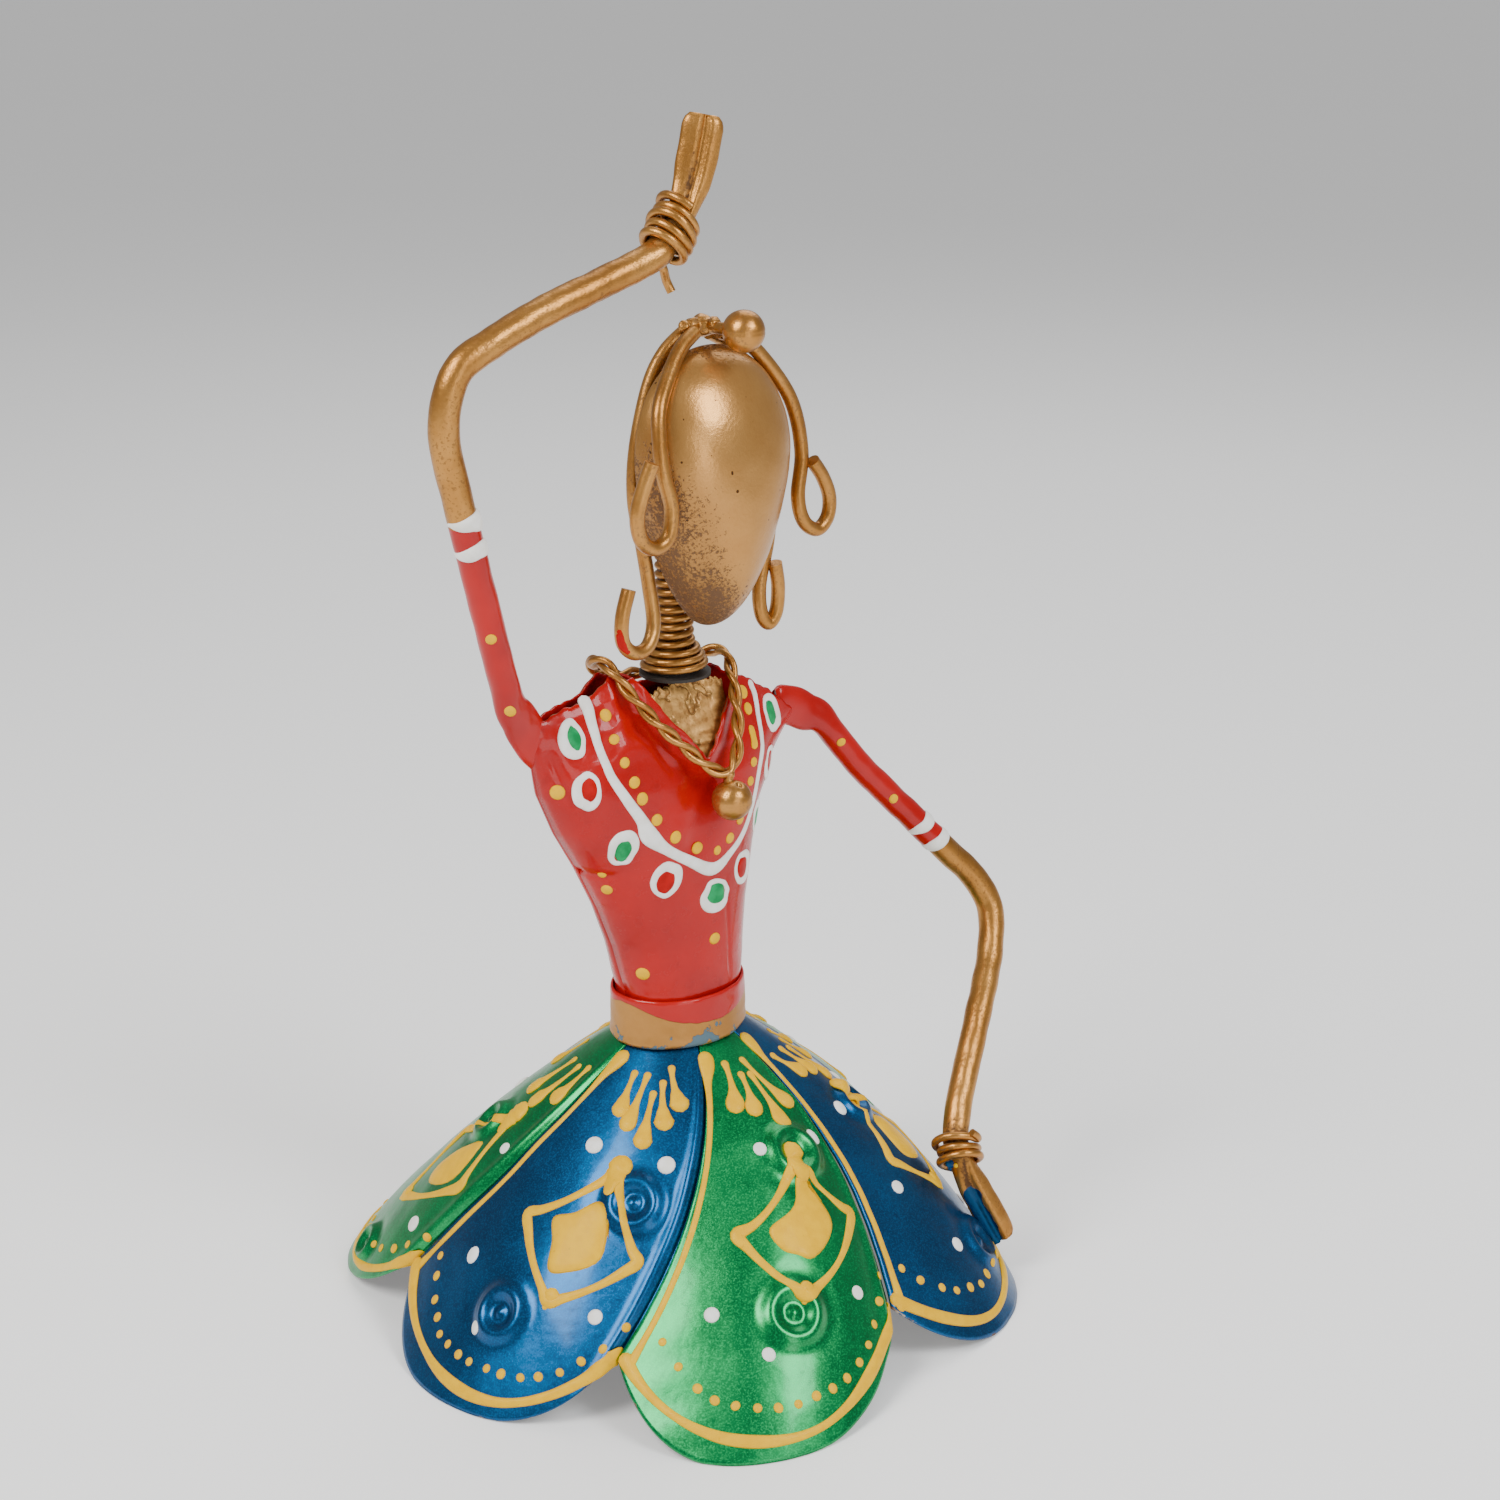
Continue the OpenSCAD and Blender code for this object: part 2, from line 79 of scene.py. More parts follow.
# Camera, lights and floor
studio = {
    "azimuth": -42.0, "elevation": 18.9, "distance": 0.6, "lens": 64.3,
    "aimOffset": (0.0073, -0.0105, -0.0047),
    "floorColour": (0.90, 0.90, 0.90), "floorGlow": 0.26, "floorSize": 60, "roomLight": 0.34,
    # name: azimuth from the camera, elevation, distance, size, power, colour
    "lamps": {
        "keyPanel": (-48, 44, 0.95, 0.40, 8.8, (1.0, 0.985, 0.96)),
        "fillPanel": (52, 38, 0.95, 0.34, 5.8, (0.97, 0.985, 1.0)),
        "lowPanel": (30, 6, 1.10, 0.34, 1.6, (1.0, 1.0, 1.0)),
        "backPanel": (165, 50, 1.10, 0.70, 5.0, (1.0, 1.0, 1.0)),
    },
}


def aroundObject(azimuth, elevation, distance, middle):
    a, e = math.radians(azimuth), math.radians(elevation)
    return Vector((math.sin(a) * math.cos(e), -math.cos(a) * math.cos(e), math.sin(e))) * distance + middle


def lookAt(obj, target):
    obj.rotation_euler = (target - obj.location).to_track_quat("-Z", "Y").to_euler()


def makeStudio():
    scene = bpy.context.scene
    aim = cadMiddle + Vector(studio["aimOffset"])
    camera = bpy.data.objects.new("camera", bpy.data.cameras.new("camera"))
    camera.data.lens = studio["lens"]
    camera.data.sensor_width = 36
    camera.location = aroundObject(studio["azimuth"], studio["elevation"], studio["distance"], aim)
    lookAt(camera, aim)
    camera.data.clip_start = 0.02
    scene.collection.objects.link(camera)
    scene.camera = camera
    for name, (azimuth, elevation, distance, size, power, colour) in studio["lamps"].items():
        lamp = bpy.data.objects.new(name, bpy.data.lights.new(name, "AREA"))
        lamp.data.shape = "RECTANGLE"
        lamp.data.size, lamp.data.size_y = size, size * 1.3
        lamp.data.energy, lamp.data.color = power, colour
        lamp.location = aroundObject(studio["azimuth"] + azimuth, elevation, distance, cadMiddle)
        lookAt(lamp, cadMiddle)
        scene.collection.objects.link(lamp)
    world = bpy.data.worlds.new("room")
    world.use_nodes = True
    world.node_tree.nodes["Background"].inputs["Color"].default_value = (1, 1, 1, 1)
    world.node_tree.nodes["Background"].inputs["Strength"].default_value = studio["roomLight"]
    scene.world = world
    bpy.ops.mesh.primitive_plane_add(size=studio["floorSize"], location=(0, 0, -0.0002))
    floor = bpy.context.object
    floor.name = "floor"
    floor.data.materials.append(floorFinish())


# Node helpers: a board adds nodes to any tree, and a signal is a value that takes arithmetic
class Signal:
    def __init__(self, board, socket):
        self.board, self.socket = board, socket

    def maths(self, operation, *others):
        node = self.board.add("ShaderNodeMath", {"operation": operation}, dict(enumerate([self, *others])))
        return Signal(self.board, node.outputs[0])

    def __add__(self, other):
        return self.maths("ADD", other)

    def __sub__(self, other):
        return self.maths("SUBTRACT", other)

    def __rsub__(self, other):
        return (self * -1) + other

    def __mul__(self, other):
        return self.maths("MULTIPLY", other)

    def __truediv__(self, other):
        return self.maths("DIVIDE", other)

    __radd__ = __add__
    __rmul__ = __mul__

    def clamp(self):
        return self.maths("MAXIMUM", 0.0).maths("MINIMUM", 1.0)

    def ramp(self, low, high):
        node = self.board.add("ShaderNodeMapRange", {"interpolation_type": "SMOOTHSTEP"},
                              {"Value": self, "From Min": low, "From Max": high})
        return Signal(self.board, node.outputs[0])


class Board:
    def __init__(self, tree):
        self.tree = tree

    def add(self, kind, settings=None, inputs=None):
        node = self.tree.nodes.new(kind)
        for key, value in (settings or {}).items():
            setattr(node, key, value)
        for key, value in (inputs or {}).items():
            socket = node.inputs[key]
            if isinstance(value, Signal):
                self.tree.links.new(value.socket, socket)
            elif isinstance(value, bpy.types.NodeSocket):
                self.tree.links.new(value, socket)
            else:
                socket.default_value = value
        return node

    def signal(self, kind, settings=None, inputs=None, output=0):
        return Signal(self, self.add(kind, settings, inputs).outputs[output])

    def noise(self, scale, detail=2.0, roughness=0.5):
        inputs = {"Scale": scale, "Detail": detail, "Roughness": roughness, "Vector": self.place()}
        return self.signal("ShaderNodeTexNoise", {}, inputs)

    def place(self):
        return self.signal("ShaderNodeTexCoord", {}, {}, "Object")

    def placeParts(self):
        node = self.add("ShaderNodeSeparateXYZ", {}, {0: self.place()})
        return [Signal(self, o) for o in node.outputs]

    def attribute(self, name):
        return self.signal("ShaderNodeAttribute", {"attribute_name": name}, {}, "Fac")

    def mix(self, factor, a, b):
        a, b = [c if isinstance(c, Signal) else (*c, 1.0) for c in (a, b)]
        node = self.add("ShaderNodeMix", {"data_type": "RGBA"}, {0: factor, 6: a, 7: b})
        return Signal(self, node.outputs[2])

    def bump(self, height, distance):
        return self.signal("ShaderNodeBump", {}, {"Height": height, "Distance": distance, "Strength": 1.0})


def finish(name, build, **fixed):
    material = bpy.data.materials.new(name)
    material.use_nodes = True
    board = Board(material.node_tree)
    shader = material.node_tree.nodes["Principled BSDF"]
    for key, value in fixed.items():
        shader.inputs[key.replace("_", " ")].default_value = value
    for key, value in build(board).items():
        socket = shader.inputs[key.replace("_", " ")]
        if isinstance(value, Signal):
            board.tree.links.new(value.socket, socket)
        else:
            socket.default_value = value
    return material


# Finishes
def floorFinish():
    def build(b):
        tone = b.noise(3.0, 1.0)
        pale = studio["floorColour"]
        return {"Base_Color": b.mix(tone, pale, tuple(c * 1.03 for c in pale)), "Roughness": 0.55,
                "Emission_Color": (*pale, 1.0)}
    return finish("paleFloor", build, Emission_Strength=studio["floorGlow"])


enamel = {
    "flakeScale": 2600, "mottleScale": 55, "orangePeel": 420,
    "blue": ((0.000, 0.030, 0.100), (0.001, 0.135, 0.360)),
    "green": ((0.000, 0.125, 0.030), (0.001, 0.470, 0.130)),
    "rust": (0.12, 0.055, 0.025), "bareSteel": (0.42, 0.36, 0.30),
}


def candyEnamel(name, tones):
    # coloured clear lacquer over a silver coat: flakes, slow mottling, chips along the hem
    def build(b):
        flakes = b.noise(enamel["flakeScale"], 1.0, 0.7).ramp(0.42, 0.72)
        mottle = b.noise(enamel["mottleScale"], 3.0, 0.6).ramp(0.3, 0.75)
        spots = b.noise(700, 0.0).ramp(0.73, 0.79)
        colour = b.mix((flakes * 0.40 + mottle * 0.25 + 0.18).clamp(), *tones)
        colour = b.mix(spots * 0.35, colour, tones[0])
        down = b.attribute("down")
        ragged = b.noise(150, 4.0, 0.65)
        hem = (down + ragged * 0.045).ramp(1.0255, 1.029)
        colour = b.mix(hem, colour, b.mix(b.noise(500).ramp(0.4, 0.6), enamel["rust"], enamel["bareSteel"]))
        peel = b.noise(enamel["orangePeel"], 1.0)
        return {"Base_Color": colour, "Metallic": (1 - hem) * 0.86,
                "Roughness": flakes * 0.10 + mottle * 0.08 + 0.28 + hem * 0.3,
                "Coat_Weight": (1 - hem) * 0.22, "Normal": b.bump(peel + hem * -1.5, 0.00006)}
    return finish(name, build, Coat_Roughness=0.13, Coat_IOR=1.5)


def redEnamel():
    def build(b):
        mottle = b.noise(40, 3.0, 0.55).ramp(0.35, 0.7)
        streak = b.noise(260, 3.0, 0.6).ramp(0.58, 0.74)
        colour = b.mix(mottle, red["deep"], red["bright"])
        colour = b.mix(streak * 0.35, colour, red["streak"])
        edge = (b.attribute("edge") + b.noise(210, 4.0, 0.7) * 0.5).ramp(1.30, 1.36)
        colour = b.mix(edge, colour, red["worn"])
        peel = b.noise(300, 2.0)
        return {"Base_Color": colour, "Roughness": streak * 0.12 + 0.27 + edge * 0.25,
                "Normal": b.bump(peel + b.noise(95, 2.0) * 0.8, 0.00022)}
    return finish("redEnamel", build, Coat_Weight=0.30, Coat_Roughness=0.05, Specular_IOR_Level=0.18)


red = {"deep": (0.36, 0.0008, 0.0004), "bright": (0.47, 0.0014, 0.0007), "streak": (0.24, 0.0006, 0.0003),
       "worn": (0.16, 0.075, 0.035)}
# the dark brown patina also serves as the painted shade under the arms and balls
gold = {"pale": (0.54, 0.262, 0.066), "warm": (0.33, 0.135, 0.026), "patinaAndShade": (0.045, 0.016, 0.004)}


def brushedGold(b):
    # slow clouds, fine grain and the colour they make
    slow = b.noise(70, 4.0, 0.6).ramp(0.3, 0.72)
    fine = b.noise(900, 3.0, 0.65)
    return slow, fine, b.mix(slow * 0.7 + fine * 0.3, gold["warm"], gold["pale"])


def antiqueGold(name, stainAndShade, speckle, shine, shade=1.0):
    # brushed gold paint, darkened towards the dark brown where the mesh's attribute asks: brown stain left
    # in the hollows, and painted shade under the balls and in the pendant's pinhole; the second and third
    # arguments are its amounts of stain and speckle
    def build(b):
        slow, fine, colour = brushedGold(b)
        if shade != 1.0:
            colour = b.mix(1 - shade, colour, gold["patinaAndShade"])
        # worn follows the mesh's attribute, so besides wear it holds painted shade
        worn = (b.attribute("stainAndShade") + (slow - 0.5) * -0.35 + (fine - 0.5) * 1.3 + stainAndShade).ramp(0.42, 0.90)
        dots = b.noise(1400, 2.0, 0.6).ramp(0.56, 0.63) * b.noise(120, 2.0).ramp(0.36, 0.60)
        worn = (worn + dots * speckle).clamp()
        colour = b.mix(worn * 0.9, colour, gold["patinaAndShade"])
        return {"Base_Color": colour, "Metallic": (1 - worn) * 0.85,
                "Roughness": shine + worn * 0.28 + (fine - 0.5) * 0.1,
                "Normal": b.bump(fine + slow * 0.3, 0.00009)}
    return finish(name, build)


def faceGold():
    # brown stain lies towards the figure's right side and gathers into dark grains at the chin; the same
    # attribute carries painted shade along the figure's right rim and over the inside
    def build(b):
        slow = b.noise(45, 4.0, 0.55).ramp(0.3, 0.72)
        fine = b.noise(1300, 2.0, 0.6)
        colour = b.mix(slow * 0.6 + fine * 0.4, (0.41, 0.185, 0.043), (0.56, 0.285, 0.080))
        stainAndShade = b.attribute("stainAndShade")
        grains = b.noise(1500, 3.0, 0.75)
        blot = b.noise(330, 3.0, 0.7)
        dark = (stainAndShade * 0.60 + (grains - 0.5) * 2.1 + (blot - 0.5) * 0.9 - 0.34).ramp(0.14, 0.42)
        film = (stainAndShade * 0.9 + (slow - 0.5) * 0.3).ramp(0.15, 1.2)
        pits = b.noise(900, 0.0).ramp(0.83, 0.85)
        colour = b.mix(film * 0.60, colour, (0.20, 0.085, 0.024))
        colour = b.mix((dark * 0.85 + pits).clamp(), colour, (0.080, 0.030, 0.007))
        return {"Base_Color": colour, "Metallic": (1 - dark) * 0.7,
                "Roughness": dark * 0.3 + film * 0.08 + 0.29,
                "Normal": b.bump(fine * 0.5 - dark * 0.8, 0.00010)}
    return finish("faceGold", build)


def wrinkledGold():
    def build(b):
        grain = b.noise(620, 4.0, 0.62)
        bend = (b.noise(95, 3.0, 0.6) - 0.5).maths("ABSOLUTE").ramp(0.0, 0.030)
        colour = b.mix(grain.ramp(0.34, 0.62), (0.42, 0.200, 0.052), (0.68, 0.370, 0.105))
        colour = b.mix((1 - bend) * 0.38, colour, gold["patinaAndShade"])
        pits = b.noise(1100, 3.0, 0.7).ramp(0.30, 0.38)
        colour = b.mix((1 - pits) * 0.4, colour, gold["patinaAndShade"])
        return {"Base_Color": colour, "Metallic": 0.6, "Roughness": 0.42,
                "Normal": b.bump(bend * 0.8 + grain * 0.40, 0.00026)}
    return finish("wrinkledGold", build)


def paint(name, thick, thin, gloss):
    def build(b):
        body = b.noise(420, 2.0).ramp(0.3, 0.7)
        specks = b.noise(1200, 1.0).ramp(0.72, 0.80)
        colour = b.mix(body, thick, thin)
        colour = b.mix(specks * 0.25, colour, tuple(c * 0.45 for c in thick))
        return {"Base_Color": colour, "Roughness": gloss + body * 0.08,
                "Normal": b.bump(b.noise(700, 2.0), 0.00008)}
    return finish(name, build, Coat_Weight=0.04, Coat_Roughness=0.10, Specular_IOR_Level=0.10)


def rawIron():
    def build(b):
        scale = b.noise(180, 4.0, 0.7)
        colour = b.mix(scale.ramp(0.35, 0.65), (0.035, 0.030, 0.028), (0.16, 0.13, 0.11))
        rust = b.noise(75, 5.0, 0.65).ramp(0.60, 0.74)
        colour = b.mix(rust * 0.7, colour, (0.17, 0.06, 0.02))
        return {"Base_Color": colour, "Metallic": (1 - rust) * 0.6, "Roughness": scale * 0.3 + 0.42,
                "Normal": b.bump(scale, 0.00015)}
    return finish("rawIron", build)


def shadowBlack():
    # painted shadow: near-black for the neck plate, standing for the shadow under the spring's foot
    def build(b):
        shadowTone = b.noise(260, 3.0, 0.6)
        return {"Base_Color": b.mix(shadowTone, (0.006, 0.004, 0.003), (0.030, 0.020, 0.013)),
                "Roughness": shadowTone * 0.2 + 0.55, "Normal": b.bump(shadowTone, 0.0001)}
    return finish("shadowBlack", build)


def beltGold():
    # gold band with red running over from the torso, and chips that show an older blue coat
    def build(b):
        x, _, z = b.placeParts()
        beltLow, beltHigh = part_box("waist_belt")
        fine = b.noise(900, 3.0, 0.65)
        slow = b.noise(60, 4.0, 0.6).ramp(0.3, 0.72)
        colour = b.mix(slow * 0.6 + fine * 0.4, (0.36, 0.155, 0.034), (0.50, 0.245, 0.066))
        chipNoise = b.noise(190, 4.0, 0.6)
        lowBand = ((z - beltLow.z) / (beltHigh.z - beltLow.z)).ramp(0.55, 0.05)
        chips = (chipNoise + lowBand * 0.17 - 0.10).ramp(0.60, 0.615)
        colour = b.mix(chips, colour, (0.09, 0.15, 0.19))
        # the red reaches lowest at the front and rises towards the sides
        across = (x - figureAxis[0]) / (beltHigh.x - beltLow.x) * 2
        edge = across * across * 0.42 + 0.44 + (b.noise(130, 2.0) - 0.5) * 0.16
        height = (z - beltLow.z) / (beltHigh.z - beltLow.z)
        overrun = (height - edge).ramp(-0.006, 0.006)
        colour = b.mix(overrun, colour, (0.43, 0.0012, 0.0006))
        return {"Base_Color": colour, "Metallic": (1 - overrun) * (1 - chips) * 0.65,
                "Roughness": 0.42 - overrun * 0.14 + chips * 0.1, "Coat_Weight": overrun * 0.30,
                "Normal": b.bump(fine * 0.4 + overrun * 1.2 - chips * 0.8, 0.00015)}
    return finish("beltGold", build, Coat_Roughness=0.06, Specular_IOR_Level=0.22)


def armFinish():
    # red from the shoulder to the cuffs, gold below; "along" counts millimetres from the shoulder
    def build(b):
        along = b.attribute("along")
        slow, fine, colour = brushedGold(b)
        # worn follows the mesh's attribute, so besides wear it holds painted shade under the arm and round
        # the wrist wrap
        worn = (b.attribute("stainAndShade") + (slow - 0.5) * -0.45 + (fine - 0.5) * 1.3).ramp(0.42, 0.92)
        dots = b.noise(1400, 2.0, 0.6).ramp(0.56, 0.63) * b.noise(120, 2.0).ramp(0.38, 0.60)
        worn = (worn + dots * 0.45).clamp()
        colour = b.mix(worn * 0.9, colour, gold["patinaAndShade"])
        sleeve = ((b.noise(220, 2.0) - 0.5) * 1.2 + b.attribute("redEnd") - along).ramp(-0.2, 0.2)
        mottle = b.noise(60, 3.0).ramp(0.35, 0.7)
        colour = b.mix(sleeve, colour, b.mix(mottle, (0.35, 0.0008, 0.0004), (0.46, 0.0014, 0.0007)))
        splash = (b.attribute("splash") + (b.noise(240, 3.0) - 0.5) * 0.7).ramp(0.34, 0.40)
        colour = b.mix(splash, colour, (0.002, 0.045, 0.120))
        return {"Base_Color": colour, "Metallic": (1 - sleeve) * (1 - worn) * 0.85,
                "Roughness": worn * 0.25 - sleeve * 0.06 + 0.34, "Coat_Weight": sleeve * 0.30,
                "Normal": b.bump(fine * (1 - sleeve) + slow * 0.3 + sleeve, 0.00012)}
    return finish("armFinish", build, Coat_Roughness=0.06, Specular_IOR_Level=0.22)


def makeFinishes():
    return {
        "blue": candyEnamel("blueEnamel", enamel["blue"]),
        "green": candyEnamel("greenEnamel", enamel["green"]),
        "red": redEnamel(), "belt": beltGold(), "arm": armFinish(), "face": faceGold(),
        "chest": wrinkledGold(), "iron": rawIron(),
        "gold": antiqueGold("antiqueGold", 0.06, 0.50, 0.34),
        "wire": antiqueGold("goldWire", 0.08, 0.35, 0.32),
        "spring": antiqueGold("springWire", 0.32, 0.35, 0.32, shade=0.85),
        "shadowBlack": shadowBlack(),
        "ball": antiqueGold("ballGold", 0.02, 0.45, 0.30),
        "yellow": paint("yellowPaint", (0.76, 0.410, 0.0), (0.83, 0.465, 0.0), 0.38),
        "white": paint("whitePaint", (0.82, 0.80, 0.74), (0.90, 0.89, 0.86), 0.34),
        "leaf": paint("leafPaint", (0.0, 0.20, 0.05), (0.002, 0.33, 0.10), 0.30),
        "redDot": paint("redPaint", (0.36, 0.0010, 0.0005), (0.46, 0.0014, 0.0007), 0.30),
        "blueDrop": paint("bluePaint", (0.004, 0.035, 0.12), (0.010, 0.10, 0.30), 0.16),
    }


# Mesh helpers
def unit(v):
    v = np.asarray(v, float)
    return v / np.maximum(np.linalg.norm(v, axis=-1, keepdims=True), 1e-12)


def smoothstep(x, low, high):
    t = np.clip((np.asarray(x, float) - low) / (high - low), 0, 1)
    return t * t * (3 - 2 * t)


def waves(points, size, seed, count=7):
    # smooth random field of about -1 to 1, with bumps about as wide as size, in millimetres
    rng = np.random.default_rng(seed)
    total = np.zeros(points.shape[:-1])
    for _ in range(count):
        direction = unit(rng.normal(size=3)) * 2 * math.pi / (size * rng.uniform(0.7, 1.6))
        total += np.sin(points @ direction + rng.uniform(0, 2 * math.pi))
    return total / math.sqrt(count)


def curvePoints(points, steps, closed=False):
    # Catmull-Rom curve through the points
    p = np.asarray(points, float)
    n = len(p)
    spans = n if closed else n - 1

    def pick(i):
        return p[i % n] if closed else p[min(max(i, 0), n - 1)]

    out = []
    for i in range(spans):
        a, b, c, d = pick(i - 1), pick(i), pick(i + 1), pick(i + 2)
        for t in np.arange(steps) / steps:
            out.append(0.5 * (2 * b + (c - a) * t + (2 * a - 5 * b + 4 * c - d) * t * t
                              + (3 * b - a - 3 * c + d) * t ** 3))
    if not closed:
        out.append(p[-1])
    return np.array(out)


def lengths(path):
    return np.r_[0, np.cumsum(np.linalg.norm(np.diff(path, axis=0), axis=1))]


def evenly(path, count):
    at = lengths(path)
    want = np.linspace(0, at[-1], count)
    return np.stack([np.interp(want, at, path[:, k]) for k in range(path.shape[1])], 1)


def gridFaces(rows, cols, start=0, flip=False, wrap=False):
    faces = []
    for r in range(rows - 1):
        for c in range(cols if wrap else cols - 1):
            d = (c + 1) % cols
            quad = [start + r * cols + c, start + (r + 1) * cols + c,
                    start + (r + 1) * cols + d, start + r * cols + d]
            faces.append(quad[::-1] if flip else quad)
    return faces


def addPiece(name, points, faces, finishes, body="root", replaced=(), faceFinish=None,
             attributes=None):
    mesh = bpy.data.meshes.new(name)
    mesh.from_pydata([tuple(p) for p in toFrame(points)], [], faces)
    for material in finishes:
        mesh.materials.append(material)
    if faceFinish is not None:
        mesh.polygons.foreach_set("material_index", faceFinish)
    for key, values in (attributes or {}).items():
        mesh.attributes.new(key, "FLOAT", "POINT").data.foreach_set("value", np.asarray(values, np.float32))
    mesh.validate()
    mesh.shade_smooth()
    obj = bpy.data.objects.new(name, mesh)
    bpy.context.scene.collection.objects.link(obj)
    settle(obj, body, replaced)
    return obj


def settle(obj, body, replaced=()):
    if body:
        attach(obj, body)
    if replaced:
        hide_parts(*replaced)


def sheetMesh(outer, inner, rimBulge=0.35):
    # closed sheet between two grids of points, with a rounded rim. Returns its points and faces, how
    # many points a grid has, and the outer point that each rim point belongs to
    rows, cols = outer.shape[:2]
    n = rows * cols
    faces = gridFaces(rows, cols) + gridFaces(rows, cols, n, flip=True)
    border = ([(r, 0) for r in range(rows)] + [(rows - 1, c) for c in range(1, cols)]
              + [(r, cols - 1) for r in range(rows - 2, -1, -1)] + [(0, c) for c in range(cols - 2, 0, -1)])
    rim = []
    for r, c in border:
        inside = outer[min(max(r, 1), rows - 2), min(max(c, 1), cols - 2)]
        away = unit(outer[r, c] - inside)
        thick = np.linalg.norm(outer[r, c] - inner[r, c])
        rim.append((outer[r, c] + inner[r, c]) / 2 + away * thick * rimBulge)
    m = len(border)
    for i in range(m):
        j = (i + 1) % m
        a, b = border[i][0] * cols + border[i][1], border[j][0] * cols + border[j][1]
        faces.append([b, a, 2 * n + i, 2 * n + j])
        faces.append([2 * n + j, 2 * n + i, n + a, n + b])
    points = np.concatenate([outer.reshape(-1, 3), inner.reshape(-1, 3), np.array(rim)])
    rimOf = np.array([r * cols + c for r, c in border])
    return points, faces, n, rimOf


def surfaceNormals(grid):
    # unit normals of a grid of points, rows down and columns across
    down = np.gradient(grid, axis=0)
    across = np.gradient(grid, axis=1)
    return unit(np.cross(down, across))


# Geometry Nodes trees: swept wires, twisted pairs and raised paint
def newTree(name, inputs):
    tree = bpy.data.node_groups.new(name, "GeometryNodeTree")
    tree.interface.new_socket("Geometry", in_out="INPUT", socket_type="NodeSocketGeometry")
    for label, kind, value in inputs:
        socket = tree.interface.new_socket(label, in_out="INPUT", socket_type="NodeSocket" + kind)
        if value is not None:
            socket.default_value = value
    tree.interface.new_socket("Geometry", in_out="OUTPUT", socket_type="NodeSocketGeometry")
    board = Board(tree)
    given = board.add("NodeGroupInput").outputs
    return tree, board, given


def closeTree(board, geometry, material):
    real = board.add("GeometryNodeRealizeInstances", {}, {0: geometry})
    painted = board.add("GeometryNodeSetMaterial", {}, {"Geometry": real.outputs[0], "Material": material})
    board.add("NodeGroupOutput", {}, {0: painted.outputs[0]})


def wireTree():
    # a wire along a path; Twist Turns winds it round the path as one strand of a rope
    tree, b, given = newTree("wireAlongPath", [
        ("Wire Radius", "Float", 0.001), ("Sides", "Int", 16), ("Twist Radius", "Float", 0.0),
        ("Twist Turns", "Float", 0.0), ("Phase", "Float", 0.0), ("Material", "Material", None)])
    curve = b.add("GeometryNodeMeshToCurve", {}, {0: given["Geometry"]}).outputs[0]
    along = b.signal("GeometryNodeSplineParameter", {}, {}, "Factor")
    normal = b.signal("GeometryNodeInputNormal")
    tangent = b.signal("GeometryNodeInputTangent")
    side = b.signal("ShaderNodeVectorMath", {"operation": "CROSS_PRODUCT"}, {0: normal, 1: tangent})
    angle = along * Signal(b, given["Twist Turns"]) * (2 * math.pi) + Signal(b, given["Phase"])
    radius = Signal(b, given["Twist Radius"])
    right = b.signal("ShaderNodeVectorMath", {"operation": "SCALE"},
                     {0: normal, "Scale": angle.maths("COSINE") * radius})
    up = b.signal("ShaderNodeVectorMath", {"operation": "SCALE"},
                  {0: side, "Scale": angle.maths("SINE") * radius})
    offset = b.signal("ShaderNodeVectorMath", {"operation": "ADD"}, {0: right, 1: up})
    twisted = b.add("GeometryNodeSetPosition", {}, {"Geometry": curve, "Offset": offset}).outputs[0]
    profile = b.add("GeometryNodeCurvePrimitiveCircle", {},
                    {"Resolution": given["Sides"], "Radius": given["Wire Radius"]}).outputs[0]
    swept = b.add("GeometryNodeCurveToMesh", {},
                  {"Curve": twisted, "Profile Curve": profile, "Fill Caps": True}).outputs[0]
    smooth = b.add("GeometryNodeSetShadeSmooth", {}, {"Geometry": swept}).outputs[0]
    closeTree(b, smooth, given["Material"])
    return tree


